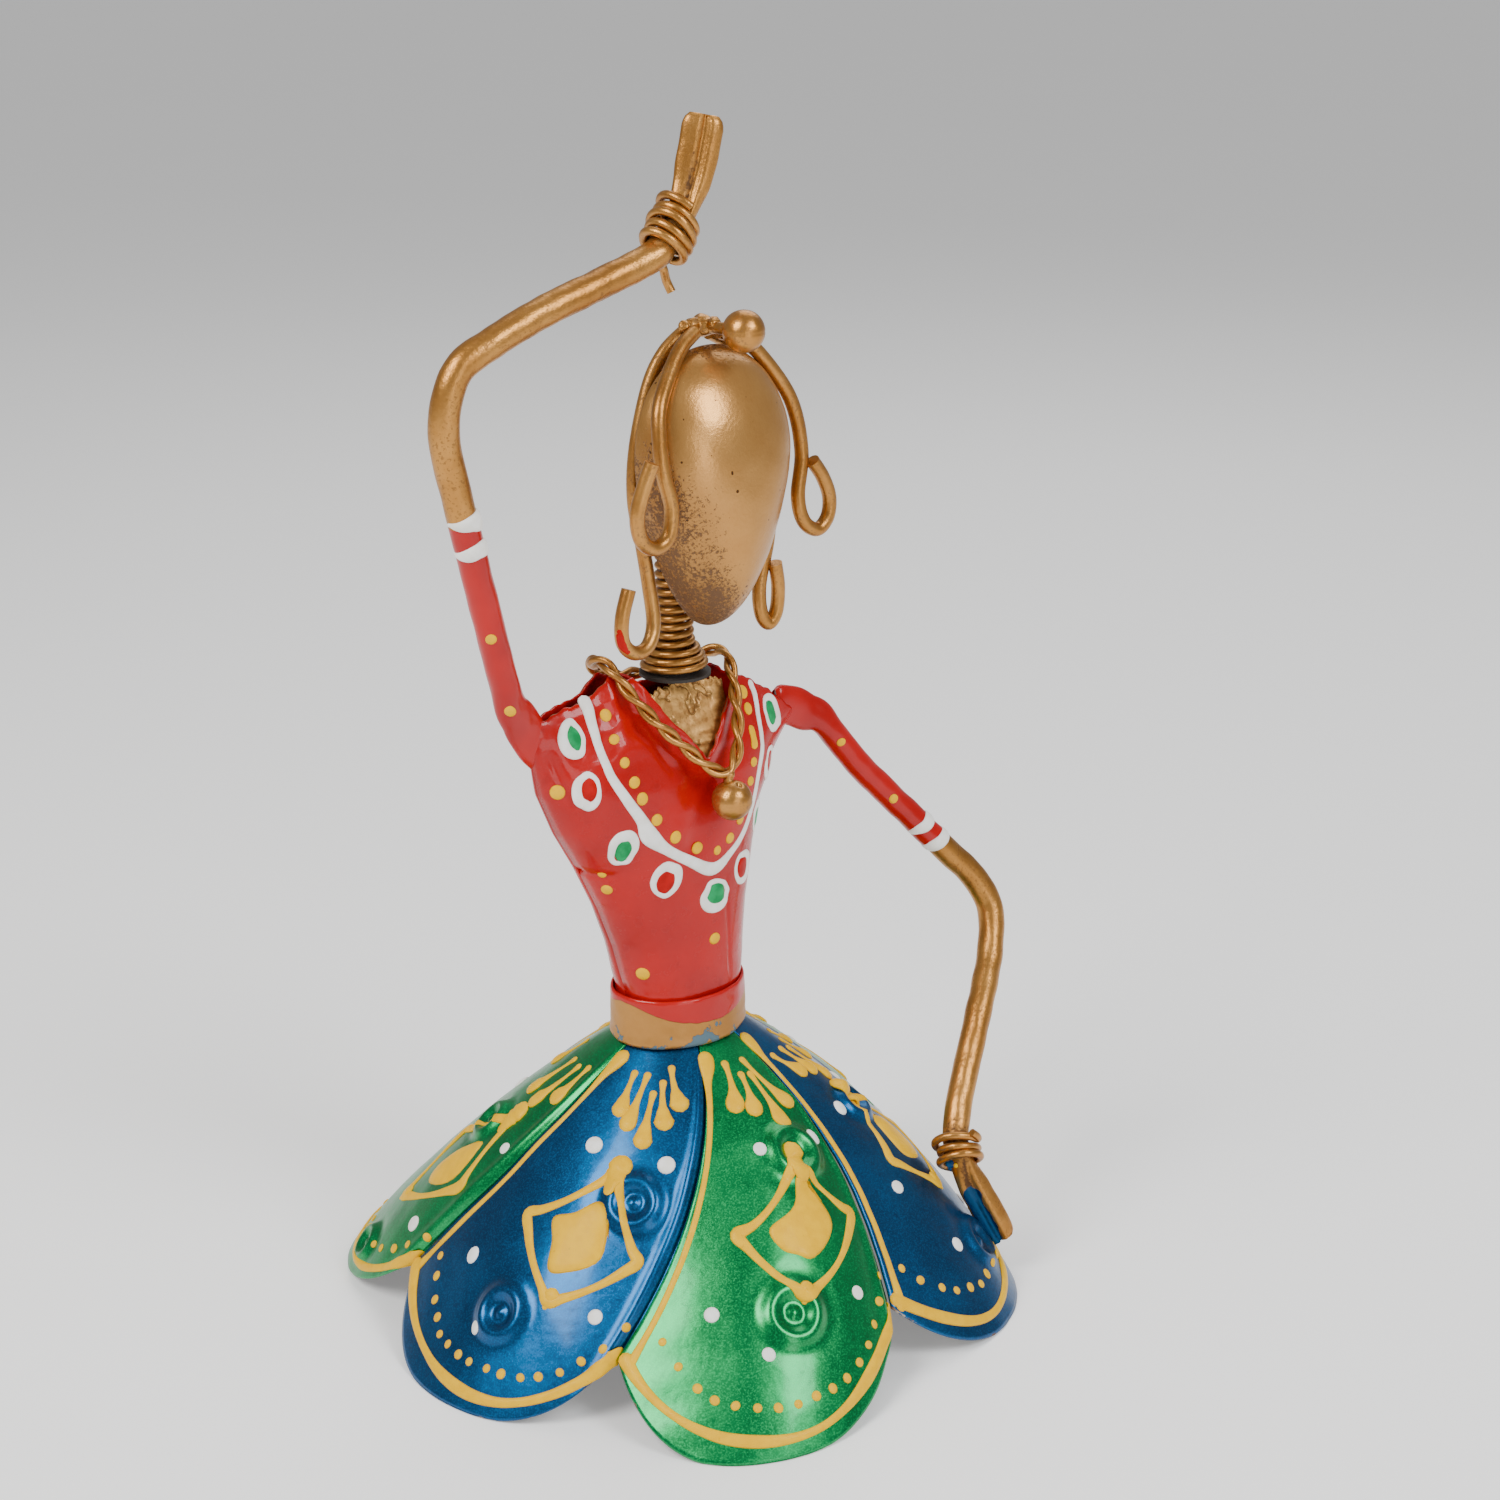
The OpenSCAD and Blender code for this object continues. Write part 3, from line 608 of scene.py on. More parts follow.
def paintTree():
    # strokes are edges and dabs are loose points; "up" is the surface's normal, "size" a half width
    tree, b, given = newTree("raisedPaint", [
        ("Rise", "Float", 0.4), ("Sink", "Float", 0.15), ("Material", "Material", None)])
    up = b.signal("GeometryNodeInputNamedAttribute", {"data_type": "FLOAT_VECTOR"}, {"Name": "up"})
    size = b.signal("GeometryNodeInputNamedAttribute", {"data_type": "FLOAT"}, {"Name": "size"})
    dab = b.signal("GeometryNodeInputNamedAttribute", {"data_type": "FLOAT"}, {"Name": "dab"})
    isDab = b.signal("FunctionNodeCompare", {"data_type": "FLOAT", "operation": "GREATER_THAN"},
                     {0: dab, 1: 0.5})
    split = b.add("GeometryNodeSeparateGeometry", {"domain": "POINT"},
                  {"Geometry": given["Geometry"], "Selection": isDab})
    curve = b.add("GeometryNodeMeshToCurve", {}, {0: split.outputs["Inverted"]}).outputs[0]
    turned = b.add("GeometryNodeSetCurveNormal", {"mode": "FREE"}, {"Curve": curve, "Normal": up}).outputs[0]
    circle = b.add("GeometryNodeCurvePrimitiveCircle", {}, {"Resolution": 12, "Radius": 1.0}).outputs[0]
    where = b.add("ShaderNodeSeparateXYZ", {}, {0: b.signal("GeometryNodeInputPosition")})
    across, height = Signal(b, where.outputs[0]), Signal(b, where.outputs[1])
    sink = Signal(b, given["Sink"])
    flat = (across * Signal(b, given["Rise"])).maths("MAXIMUM", sink * -1)
    oval = b.signal("ShaderNodeCombineXYZ", {}, {0: flat, 1: height, 2: 0.0})
    profile = b.add("GeometryNodeSetPosition", {}, {"Geometry": circle, "Position": oval}).outputs[0]
    strokes = b.add("GeometryNodeCurveToMesh", {},
                    {"Curve": turned, "Profile Curve": profile, "Scale": size, "Fill Caps": True}).outputs[0]
    ball = b.add("GeometryNodeMeshUVSphere", {}, {"Segments": 14, "Rings": 8, "Radius": 1.0}).outputs[0]
    points = b.add("GeometryNodeMeshToPoints", {}, {"Mesh": split.outputs["Selection"]}).outputs[0]
    turn = b.signal("FunctionNodeAlignRotationToVector", {"axis": "Z"}, {"Vector": up})
    wobble = b.signal("FunctionNodeRandomValue", {"data_type": "FLOAT_VECTOR"},
                      {0: (0.92, 0.92, 1.0), 1: (1.1, 1.1, 1.0), "Seed": 5})
    grow = b.signal("ShaderNodeCombineXYZ", {}, {0: size, 1: size, 2: size * Signal(b, given["Rise"])})
    shape = b.signal("ShaderNodeVectorMath", {"operation": "MULTIPLY"}, {0: grow, 1: wobble})
    dabs = b.add("GeometryNodeInstanceOnPoints", {}, {
        "Points": points, "Instance": ball, "Rotation": turn, "Scale": shape}).outputs[0]
    joined = b.add("GeometryNodeJoinGeometry", {})
    for part in (strokes, dabs):
        b.tree.links.new(part, joined.inputs[0])
    smooth = b.add("GeometryNodeSetShadeSmooth", {}, {"Geometry": joined.outputs[0]}).outputs[0]
    closeTree(b, smooth, given["Material"])
    return tree


def runTree(tree, source, name, values):
    # runs the tree on a throwaway object and keeps the result as a plain mesh
    obj = bpy.data.objects.new(name + "Source", source)
    bpy.context.scene.collection.objects.link(obj)
    modifier = obj.modifiers.new("nodes", "NODES")
    modifier.node_group = tree
    for item in tree.interface.items_tree:
        if item.item_type == "SOCKET" and item.in_out == "INPUT" and item.name in values:
            modifier[item.identifier] = values[item.name]
    evaluated = obj.evaluated_get(bpy.context.evaluated_depsgraph_get())
    mesh = bpy.data.meshes.new_from_object(evaluated)
    mesh.name = name
    bpy.data.objects.remove(obj)
    setOnlyMaterial(mesh, values["Material"])
    result = bpy.data.objects.new(name, mesh)
    bpy.context.scene.collection.objects.link(result)
    return result


def setOnlyMaterial(mesh, material):
    mesh.materials.clear()
    mesh.materials.append(material)
    mesh.polygons.foreach_set("material_index", np.zeros(len(mesh.polygons), np.int32))


def edgeMesh(name, paths, closed=False):
    mesh = bpy.data.meshes.new(name)
    points, edges = [], []
    for path in paths:
        first = len(points)
        points += [tuple(p) for p in toFrame(path)]
        edges += [(first + i, first + i + 1) for i in range(len(path) - 1)]
        if closed:
            edges.append((first + len(path) - 1, first))
    mesh.from_pydata(points, edges, [])
    return mesh


def addWire(name, paths, diameter, material, body, replaced=(), closed=False, sides=16,
            twist=(0.0, 0.0, 0.0)):
    twistRadius, turns, phase = twist
    wire = runTree(trees["wire"], edgeMesh(name, paths, closed), name, {
        "Wire Radius": diameter / 2 * mm, "Sides": sides, "Twist Radius": twistRadius * mm,
        "Twist Turns": turns, "Phase": phase, "Material": material})
    settle(wire, body, replaced)
    return wire


# how a stroke closes at its ends, like a half circle: reach and width, in half widths of the stroke
roundHead = [(1.0, 0.05), (0.8, 0.6), (0.45, 0.89)]


class PaintPot:
    # gathers the strokes, dabs and puddles of one colour, then becomes one piece
    def __init__(self, name, material, slot, rise):
        self.name, self.material, self.slot, self.rise = name, material, slot, rise
        self.points, self.edges, self.ups, self.sizes, self.dabs = [], [], [], [], []
        self.puddles = []

    def put(self, point, up, size, dab):
        self.points.append(point)
        self.ups.append(up)
        self.sizes.append(size)
        self.dabs.append(dab)

    def dab(self, surface, at, size):
        point, up = surface(*at)
        self.put(point, up, size, 1.0)

    def roundEnd(self, surface, end, before, steps):
        point, up = surface(*end[:-1])
        out = unit(point - surface(*before[:-1])[0])
        for reach, share in steps:
            self.put(point + out * reach * end[-1], up, end[-1] * share, 0.0)

    def stroke(self, surface, path, widths, steps=8, closed=False, unevenness=0.1, seed=1):
        # widths are half widths in millimetres, one for each point of the path
        rows = [[*p, w] for p, w in zip(path, widths)]
        fine = curvePoints(rows, steps, closed)
        count = len(fine)
        rng = np.random.default_rng(seed)
        ripple = np.interp(np.linspace(0, 1, count), np.linspace(0, 1, 9), rng.uniform(-1, 1, 9))
        first = len(self.points)
        if not closed:
            self.roundEnd(surface, fine[0], fine[1], roundHead)
        for row, swell in zip(fine, ripple):
            point, up = surface(*row[:-1])
            self.put(point, up, row[-1] * (1 + unevenness * swell), 0.0)
        if not closed:
            self.roundEnd(surface, fine[-1], fine[-2], roundHead[::-1])
        last = len(self.points)
        self.edges += [(i, i + 1) for i in range(first, last - 1)]
        if closed:
            self.edges.append((last - 1, first))

    def ring(self, surface, centre, radii, width, seed):
        # loop round a centre; radii are its half sizes in the surface's own two directions
        rng = np.random.default_rng(seed)
        turn = np.linspace(0, 2 * math.pi, 13)[:-1]
        wide = 1 + rng.uniform(-0.09, 0.09, 12)
        path = [(centre[0] + radii[0] * w * math.cos(a), centre[1] + radii[1] * w * math.sin(a))
                for a, w in zip(turn, wide)]
        heavy = rng.uniform(0, 2 * math.pi)
        widths = [width * (1 + 0.38 * math.cos(a - heavy)) for a in turn]
        self.stroke(surface, path, widths, 4, closed=True, unevenness=0.0)

    def puddle(self, surface, outline, height):
        # filled patch with a domed top that thins towards its outline
        edge = curvePoints(outline, 5, closed=True)
        middle = edge.mean(axis=0)
        rings, levels = 6, []
        for k in range(rings + 1):
            share = 1 - k / rings
            level = []
            for p in edge:
                point, up = surface(*(middle + (p - middle) * share))
                level.append(point + up * (height * (1 - share ** 5) - (0.12 if k == 0 else 0)))
            levels.append(level)
        self.puddles.append(np.array(levels))

    def finishPiece(self, body="root"):
        mesh = bpy.data.meshes.new(self.name)
        mesh.from_pydata([tuple(p) for p in toFrame(self.points)], self.edges, [])
        mesh.attributes.new("up", "FLOAT_VECTOR", "POINT").data.foreach_set(
            "vector", np.asarray(self.ups, np.float32).ravel())
        # sizes scale a profile that is given in metres
        mesh.attributes.new("size", "FLOAT", "POINT").data.foreach_set(
            "value", np.asarray(self.sizes, np.float32) * mm)
        mesh.attributes.new("dab", "FLOAT", "POINT").data.foreach_set("value", self.dabs)
        piece = runTree(trees["paint"], mesh, self.name, {
            "Rise": self.rise, "Sink": 0.16, "Material": self.material})
        if self.puddles:
            self.addPuddles(piece)
        settle(piece, body)
        return piece

    def addPuddles(self, piece):
        points, faces = [], []
        for levels in self.puddles:
            rings, count = levels.shape[:2]
            start = sum(len(p) for p in points)
            points.append(levels[:-1].reshape(-1, 3))
            points.append(levels[-1].mean(axis=0, keepdims=True))
            top = start + (rings - 1) * count
            side = gridFaces(rings - 1, count, start, wrap=True)
            fan = [[start + (rings - 2) * count + i, top,
                    start + (rings - 2) * count + (i + 1) % count] for i in range(count)]
            base = [[start + i for i in range(count)][::-1]]
            faces += side + fan + base
        patch = bpy.data.meshes.new(self.name + "Patch")
        patch.from_pydata([tuple(p) for p in toFrame(np.concatenate(points))], [], faces)
        patch.materials.append(self.material)
        makeOutward(piece, patch)
        piece.data.shade_smooth()


def makeOutward(piece, extra=None):
    # turns every face outwards, once a second mesh is added where one is given
    bm = bmesh.new()
    bm.from_mesh(piece.data)
    if extra:
        bm.from_mesh(extra)
    bmesh.ops.recalc_face_normals(bm, faces=bm.faces)
    bm.to_mesh(piece.data)
    bm.free()


trees = {"wire": wireTree(), "paint": paintTree()}
finishes = makeFinishes()
makeStudio()
print("studio, finishes and node trees ready")


# Skirt: six overlapping petals
skirt = {
    "tipRadius": 80.5, "notchRadius": 64.0, "notchHeight": 14.5, "topHeight": 65.0, "turn": 37.0,
    "sheet": 0.8, "reach": [0, 0, 0, 1, -4, 2.6], "dome": [2.2, 3.4, 1.6, 1.8, 1.4, 2.0],
    "skew": [0, 0, 0, 0, 0, 0.16], "creaseBulge": 2.8, "creaseWind": [25, 16, 12, 15, 26, 34],
    "hemPower": 2.2, "footFlat": 0.2, "overlap": 0.05, "ridge": 0.55, "rows": 116, "cols": 128,
    "gap": 0.25, "petals": 6,
}
skirtPaint = {"edgeAt": -0.95, "hemDots": 16, "dotSize": 1.05, "dropHead": 2.15, "whiteSize": 1.75}
belt = {"halfWidth": 16.8, "halfDepth": 13.6, "sheet": 0.7}
petalHalf = 180 / skirt["petals"] - skirt["gap"]

# Each petal's hammered bosses and painted pattern; places are (across, down), from -1 to 1 and 0 to 1
petalArt = [
    {"bosses": [(0.02, 0.83, 6.6), (-0.05, 0.36, 5.5)],
     "white": [(-0.43, 0.34), (-0.54, 0.59), (-0.30, 0.78), (0.45, 0.33), (0.55, 0.60), (0.42, 0.80)],
     "drops": [(-0.66, 0.13, -0.42, 0.20), (-0.24, 0.13, -0.13, 0.22), (0.02, 0.15, 0.13, 0.27),
               (0.22, 0.13, 0.40, 0.22), (0.40, 0.10, 0.68, 0.18)],
     "diamond": [(-0.04, 0.32), (-0.38, 0.52), (0.02, 0.66), (0.50, 0.55)],
     "fill": [(0.00, 0.42), (-0.14, 0.46), (-0.16, 0.54), (0.08, 0.59), (0.22, 0.55), (0.18, 0.46)]},
    {"bosses": [(-0.12, 0.76, 6.8), (0.3, 0.40, 6.0)],
     "white": [(-0.42, 0.32), (0.50, 0.31), (-0.58, 0.70), (0.48, 0.76), (-0.1, 0.86)],
     "drops": [(-0.45, 0.10, -0.40, 0.18), (-0.15, 0.12, -0.14, 0.23), (0.10, 0.13, 0.16, 0.26),
               (0.34, 0.10, 0.44, 0.20)],
     "diamond": [(0.02, 0.34), (-0.52, 0.53), (0.04, 0.70), (0.55, 0.55)],
     "fill": [(-0.02, 0.43), (-0.22, 0.50), (-0.14, 0.60), (0.10, 0.62), (0.24, 0.52)]},
    {"bosses": [(0.14, 0.72, 7.0)],
     "white": [(-0.40, 0.30), (0.46, 0.33), (-0.52, 0.72), (0.56, 0.70), (0.04, 0.84)],
     "drops": [(-0.42, 0.08, -0.38, 0.18), (-0.12, 0.11, -0.10, 0.22), (0.12, 0.12, 0.18, 0.25),
               (0.36, 0.09, 0.50, 0.17)],
     "diamond": [(0.06, 0.36), (-0.46, 0.50), (0.02, 0.68), (0.60, 0.56)],
     "fill": [(0.04, 0.43), (-0.18, 0.49), (-0.10, 0.58), (0.12, 0.61), (0.30, 0.54), (0.18, 0.45)]},
    {"bosses": [(0.30, 0.90, 5.0), (0.1, 0.40, 5.5)],
     "white": [(0.72, 0.44), (0.60, 0.76), (-0.50, 0.36), (-0.56, 0.72)],
     "drops": [(-0.30, 0.10, -0.36, 0.20), (0.16, 0.13, 0.10, 0.26), (0.44, 0.13, 0.40, 0.27),
               (0.66, 0.12, 0.66, 0.23)],
     "diamond": [(0.38, 0.33), (-0.10, 0.50), (0.16, 0.73), (0.68, 0.60)],
     "fill": [(0.40, 0.44), (0.20, 0.50), (0.16, 0.60), (0.30, 0.64), (0.54, 0.58)]},
    {"bosses": [(-0.12, 0.75, 6.6), (0.35, 0.42, 6.6)],
     "white": [(-0.36, 0.29), (0.55, 0.33), (-0.65, 0.71), (-0.20, 0.81), (0.53, 0.73)],
     "drops": [(-0.42, 0.08, -0.31, 0.18), (-0.16, 0.08, -0.11, 0.215), (0.07, 0.13, 0.17, 0.255),
               (0.18, 0.10, 0.36, 0.205), (0.28, 0.06, 0.53, 0.16)],
     "diamond": [(0.06, 0.34), (-0.50, 0.52), (0.14, 0.69), (0.64, 0.60)],
     "fill": [(0.02, 0.42), (-0.12, 0.46), (-0.28, 0.49), (-0.14, 0.55), (-0.02, 0.62), (0.12, 0.62),
              (0.34, 0.57), (0.18, 0.45)]},
    {"bosses": [(-0.14, 0.69, 7.2), (0.20, 0.34, 7.0)],
     "white": [(-0.31, 0.30), (0.68, 0.37), (-0.69, 0.71), (0.48, 0.74), (-0.29, 0.77)],
     "drops": [(-0.36, 0.07, -0.50, 0.18), (-0.08, 0.11, -0.18, 0.20), (0.18, 0.12, 0.24, 0.26),
               (0.26, 0.08, 0.60, 0.24)],
     "diamond": [(0.11, 0.35), (-0.62, 0.51), (-0.06, 0.66), (0.70, 0.60)],
     "fill": [(0.10, 0.37), (-0.06, 0.45), (-0.36, 0.49), (-0.26, 0.545), (-0.10, 0.57), (0.06, 0.59),
              (0.36, 0.55), (0.28, 0.46)]},
]


def beltRadius(angle, inset):
    w, d = belt["halfWidth"] - inset, belt["halfDepth"] - inset
    return w * d / np.sqrt((d * np.sin(angle)) ** 2 + (w * np.cos(angle)) ** 2)


def petalBase(k, t, s):
    # the petal's plain surface, in step with the CAD solid
    follow = (k + 1) % skirt["petals"]
    t, s = np.asarray(t, float), np.asarray(s, float)
    wind = (skirt["creaseWind"][k] * (1 - t) + skirt["creaseWind"][follow] * (1 + t)) / 2
    angle = np.radians(skirt["turn"] + 360 / skirt["petals"] * k + t * petalHalf + wind * (1 - s))
    top = beltRadius(angle, belt["sheet"] + 0.6)
    off = np.abs(t + skirt["skew"][k] * (1 - t * t))
    droop = np.clip((off - skirt["footFlat"]) / (1 - skirt["footFlat"]), 0, None) ** skirt["hemPower"]
    tip = skirt["tipRadius"] + skirt["reach"][k]
    hemR = skirt["notchRadius"] + (tip - skirt["notchRadius"]) * (1 - off ** skirt["hemPower"])
    hemZ = skirt["notchHeight"] * droop
    bulge = (skirt["creaseBulge"] + skirt["dome"][k] * (1 - t * t)) * 4 * s * (1 - s)
    r = top + (hemR - top) * s + bulge * 0.69
    z = skirt["topHeight"] + (hemZ - skirt["topHeight"]) * s + bulge * 0.72
    return np.stack([r * np.sin(angle), -r * np.cos(angle), z], -1)


def bossProfile(distance, radius):
    # hammered ring: a raised rim, a hollow inside it and a low button in the middle
    d = distance / radius
    rim, hollow = np.exp(-((d - 0.74) / 0.28) ** 2), np.exp(-((d - 0.34) / 0.18) ** 2)
    button, trench = np.exp(-(d / 0.20) ** 2), np.exp(-((d - 1.3) / 0.3) ** 2)
    return 1.25 * rim - 0.42 * hollow + 0.55 * button - 0.18 * trench


def petalRelief(k, t, s, points):
    lift = skirt["ridge"] * np.exp(-((t - 0.84) / 0.07) ** 2) * np.clip(s * (1.25 - s) * 3, 0, 1)
    lift -= 0.5 * np.exp(-((t - 0.96) / 0.05) ** 2) * np.clip(s * 2, 0, 1)
    lift += 0.22 * waves(points, 34, 20 + k) * np.clip(4 * s * (1 - s), 0, 1)
    lift += 0.05 * waves(points, 9, 40 + k)
    for bt, bs, radius in petalArt[k]["bosses"]:
        centre = petalBase(k, bt, bs)
        lift += bossProfile(np.linalg.norm(points - centre, axis=-1), radius)
    tucked = smoothstep(t, 0.955, 1.0)
    return lift - 1.0 * tucked


def petalGrid(k):
    # how far down and across each point is, the outer points, and the plain surface's normals
    s, t = np.meshgrid(np.linspace(0, 1, skirt["rows"]),
                       np.linspace(-1, 1 + skirt["overlap"], skirt["cols"]), indexing="ij")
    base = petalBase(k, t, s)
    normals = surfaceNormals(base)
    return s, t, base + normals * petalRelief(k, t, s, base)[..., None], normals


def petalSurface(k):
    # point and outward normal at (across, down), for paint
    def at(t, s):
        h = 0.004
        tt, ss = np.array([t, t + h, t]), np.array([s, s, s + h])
        base = petalBase(k, tt, ss)
        flatUp = unit(np.cross(base[2] - base[0], base[1] - base[0]))
        points = base + flatUp * petalRelief(k, tt, ss, base)[:, None]
        return points[0], unit(np.cross(points[2] - points[0], points[1] - points[0]))
    return at


def makePetal(k):
    s, _, outer, normals = petalGrid(k)
    inner = outer - normals * skirt["sheet"] * smoothstep(1 - s, -0.2, 0.02)[..., None]
    points, faces, _, rimOf = sheetMesh(outer, inner)
    points[:, 2] = np.maximum(points[:, 2], 0.0)
    down = np.concatenate([s.ravel(), s.ravel() * 0, s.ravel()[rimOf]])
    quads = gridFaces(skirt["rows"], skirt["cols"])
    under = np.zeros(len(faces), int)
    under[len(quads):2 * len(quads)] = 1
    coat = "blue" if k % 2 == 0 else "green"
    addPiece(f"petalSheet{k + 1}", points, faces, [finishes[coat], finishes["iron"]],
             replaced=[f"skirt_petal_{k + 1}"], faceFinish=under, attributes={"down": down})


def paintPetal(k, yellow, white):
    art, surface = petalArt[k], petalSurface(k)
    rng = np.random.default_rng(100 + k)
    # line along the petal's edge, with a teardrop head at the waist
    downs = np.array([0.05, 0.08, 0.13, 0.20, 0.35, 0.5, 0.65, 0.8, 0.9, 0.975])
    path = [(skirtPaint["edgeAt"] + (0.10 * (1 - d / 0.13) if d < 0.13 else 0), d) for d in downs]
    yellow.stroke(surface, path, [1.8, 1.7, 0.95, 0.7, 0.68, 0.7, 0.74, 0.8, 0.9, 1.35], 10, seed=k)
    # line round the hem and the row of dots inside it
    ts = np.linspace(-0.97, 0.97, 15)
    hem = [(x, 0.945 + 0.035 * abs(x) ** 3 - 0.012 * math.sin(5 * x + k)) for x in ts]
    widths = [1.22 + 0.27 * math.sin(7 * x + 2 * k) + 0.75 * abs(x) ** 8 for x in ts]
    yellow.stroke(surface, hem, widths, 8, seed=20 + k)
    for x in np.linspace(-0.88, 0.88, skirtPaint["hemDots"]):
        down = 0.885 - 0.055 * abs(x) ** 2.5
        yellow.dab(surface, (x + rng.uniform(-0.012, 0.012), down + rng.uniform(-0.005, 0.005)),
                   skirtPaint["dotSize"] + rng.uniform(-0.12, 0.14))
    share = np.array([0, 0.2, 0.45, 0.7, 0.88, 1.0])
    for t0, s0, t1, s1 in art["drops"]:
        path = [(t0 + (t1 - t0) * f ** 1.15, s0 + (s1 - s0) * f) for f in share]
        head = skirtPaint["dropHead"] + rng.uniform(-0.2, 0.25)
        yellow.stroke(surface, path, [0.95, 0.62, 0.68, 1.2, 1.95, head], 6, seed=40 + k)
    paintDiamond(k, surface, yellow, rng)
    for at in art["white"]:
        white.dab(surface, at, skirtPaint["whiteSize"] + rng.uniform(-0.25, 0.3))


def paintDiamond(k, surface, yellow, rng):
    top, left, bottom, right = [np.array(p) for p in petalArt[k]["diamond"]]
    path, widths = [], []
    for a, b in ((top, left), (left, bottom), (bottom, right), (right, top)):
        for f, w in ((0.0, 1.55), (0.18, 1.15), (0.5, 0.78), (0.82, 1.05)):
            path.append(tuple(a + (b - a) * f))
            widths.append(w * (1 + rng.uniform(-0.12, 0.15)))
    yellow.stroke(surface, path, widths, 5, closed=True, unevenness=0.0)
    yellow.stroke(surface, [tuple(top + (0.0, -0.012)), tuple(top + (0.0, 0.02)), tuple(top + (0.02, 0.05))],
                  [2.8, 2.6, 1.7], 6)
    tail = (bottom - top) * 0.04
    yellow.stroke(surface, [tuple(bottom - tail), tuple(bottom + tail)], [1.9, 0.7], 5)
    yellow.puddle(surface, petalArt[k]["fill"], 0.42)


def makeSkirt():
    yellow = PaintPot("yellowSkirtPaint", finishes["yellow"], "gold_paint", 0.36)
    white = PaintPot("whiteSkirtPaint", finishes["white"], "gold_paint", 0.30)
    for k in range(skirt["petals"]):
        makePetal(k)
        paintPetal(k, yellow, white)
    yellow.finishPiece()
    white.finishPiece()
    print("skirt done")


makeSkirt()


# Torso: two shells, the bare chest and the belt
torso = {
    "lowHeight": 66.2, "sheet": 0.7, "rows": 104, "cols": 120, "lip": 1.1, "roundness": 2.3, "middleY": 0.15,
    "rightReach": 41, "leftReach": 37,
    # height and distance pairs, in step with the CAD solids
    "rightEdge": [[66, 15.3], [77.2, 15.6], [82, 17.2], [90, 19.5], [100, 23.5], [110, 28.5],
                  [120, 34.5], [130, 39], [140, 41], [150, 41]],
    "leftEdge": [[66, 15.3], [77.2, 15.6], [82, 16.8], [95, 17.6], [108, 19.8], [118, 22],
                 [127, 28], [134, 36], [150, 38]],
    "depth": [[66, 12], [77.2, 12], [105, 12.2], [118, 12.8], [128, 11.4], [134, 10], [142, 8.6], [156, 7]],
    "backDepth": [[66, 12], [77.2, 11.6], [90, 10.5], [120, 9.5], [140, 8], [156, 7]],
    "shoulder": [[-42, 145], [-36, 148], [-26, 150], [-21, 153.5], [-12.6, 151.6], [-9.4, 149.3],
                 [0, 149.4], [8.5, 149.4], [13, 148.4], [21, 144.2], [28, 139.5], [37, 133.4]],
    "neckOpening": [[-14, 151.5], [-11, 146.5], [0, 132], [11, 144.5], [13, 147.5]],
    # dents and folds: from (x, height) to (x, height), width, depth
    "creases": [(4.2, 103, 6.2, 76, 0.55, 0.30), (-31, 110.4, -24, 109.6, 0.7, 0.45),
                (-34, 128, -38, 140, 0.8, 0.5), (-17, 143, -9, 131, 1.3, 0.55),
                (12, 141, 8, 130, 1.2, 0.4), (-2, 128, -6, 112, 3.0, 0.7)],
}


def lookup(x, table):
    pairs = np.array(table, float)
    return np.interp(x, pairs[:, 0], pairs[:, 1])


def shoulderX(u):
    return np.where(u < 0, u * torso["rightReach"], u * torso["leftReach"])


def torsoPoint(u, z, front, inset=0.0):
    u, z = np.asarray(u, float), np.asarray(z, float)
    edge = np.where(u < 0, lookup(z, torso["rightEdge"]), lookup(z, torso["leftEdge"]))
    x = u * (edge - inset)
    closing = np.sqrt(np.clip((lookup(shoulderX(u), torso["shoulder"]) - z + 2) / 16, 0, 1))
    full = lookup(z, torso["depth" if front else "backDepth"])
    rounding = np.sqrt(np.clip(1 - np.abs(u) ** torso["roundness"], 0, None))
    y = torso["middleY"] + (full * closing - inset) * rounding
    return np.stack([x, -y if front else y, z], -1)


def creaseDepth(x, z, creases):
    total = np.zeros(np.shape(x))
    for x0, z0, x1, z1, width, depth in creases:
        line = np.array([x1 - x0, z1 - z0])
        share = ((x - x0) * line[0] + (z - z0) * line[1]) / (line @ line)
        nearest = np.clip(share, 0, 1)
        off = np.hypot(x - x0 - nearest * line[0], z - z0 - nearest * line[1])
        fade = smoothstep(share, -0.12, 0.12) * smoothstep(1.12 - share, 0, 0.24)
        total += depth * np.exp(-(off / width) ** 2) * fade
    return total


def belowShoulder(x, z, room):
    return min(z, float(lookup(x, torso["shoulder"])) - room)


def torsoTop(u, front):
    topX = shoulderX(u)
    top = lookup(topX, torso["shoulder"])
    if front:
        opening = lookup(topX, torso["neckOpening"])
        top = np.where(np.abs(topX + 0.5) < 13.5, np.minimum(top, opening), top)
    return top


def torsoRelief(u, points, front):
    x, z = points[..., 0], points[..., 2]
    inside = smoothstep(1 - np.abs(u), 0.0, 0.10)
    lift = 0.32 * waves(points, 26, 3 if front else 4) * inside
    crumpled = smoothstep(z, 128, 148)
    lift += (0.22 * waves(points, 7.5, 5) + 0.10 * waves(points, 3.2, 6)) * crumpled * inside
    if front:
        belowEdge = torsoTop(u, True) - z
        nearNeck = smoothstep(15 - np.abs(x + 0.5), 0, 2.5)
        curl = nearNeck * smoothstep(4.5 - belowEdge, 0, 4.5)
        lift += torso["lip"] * curl * (1 + 0.3 * waves(points, 6, 8))
        lift -= creaseDepth(x, z, torso["creases"])
    return lift * smoothstep(z, 77, 83)


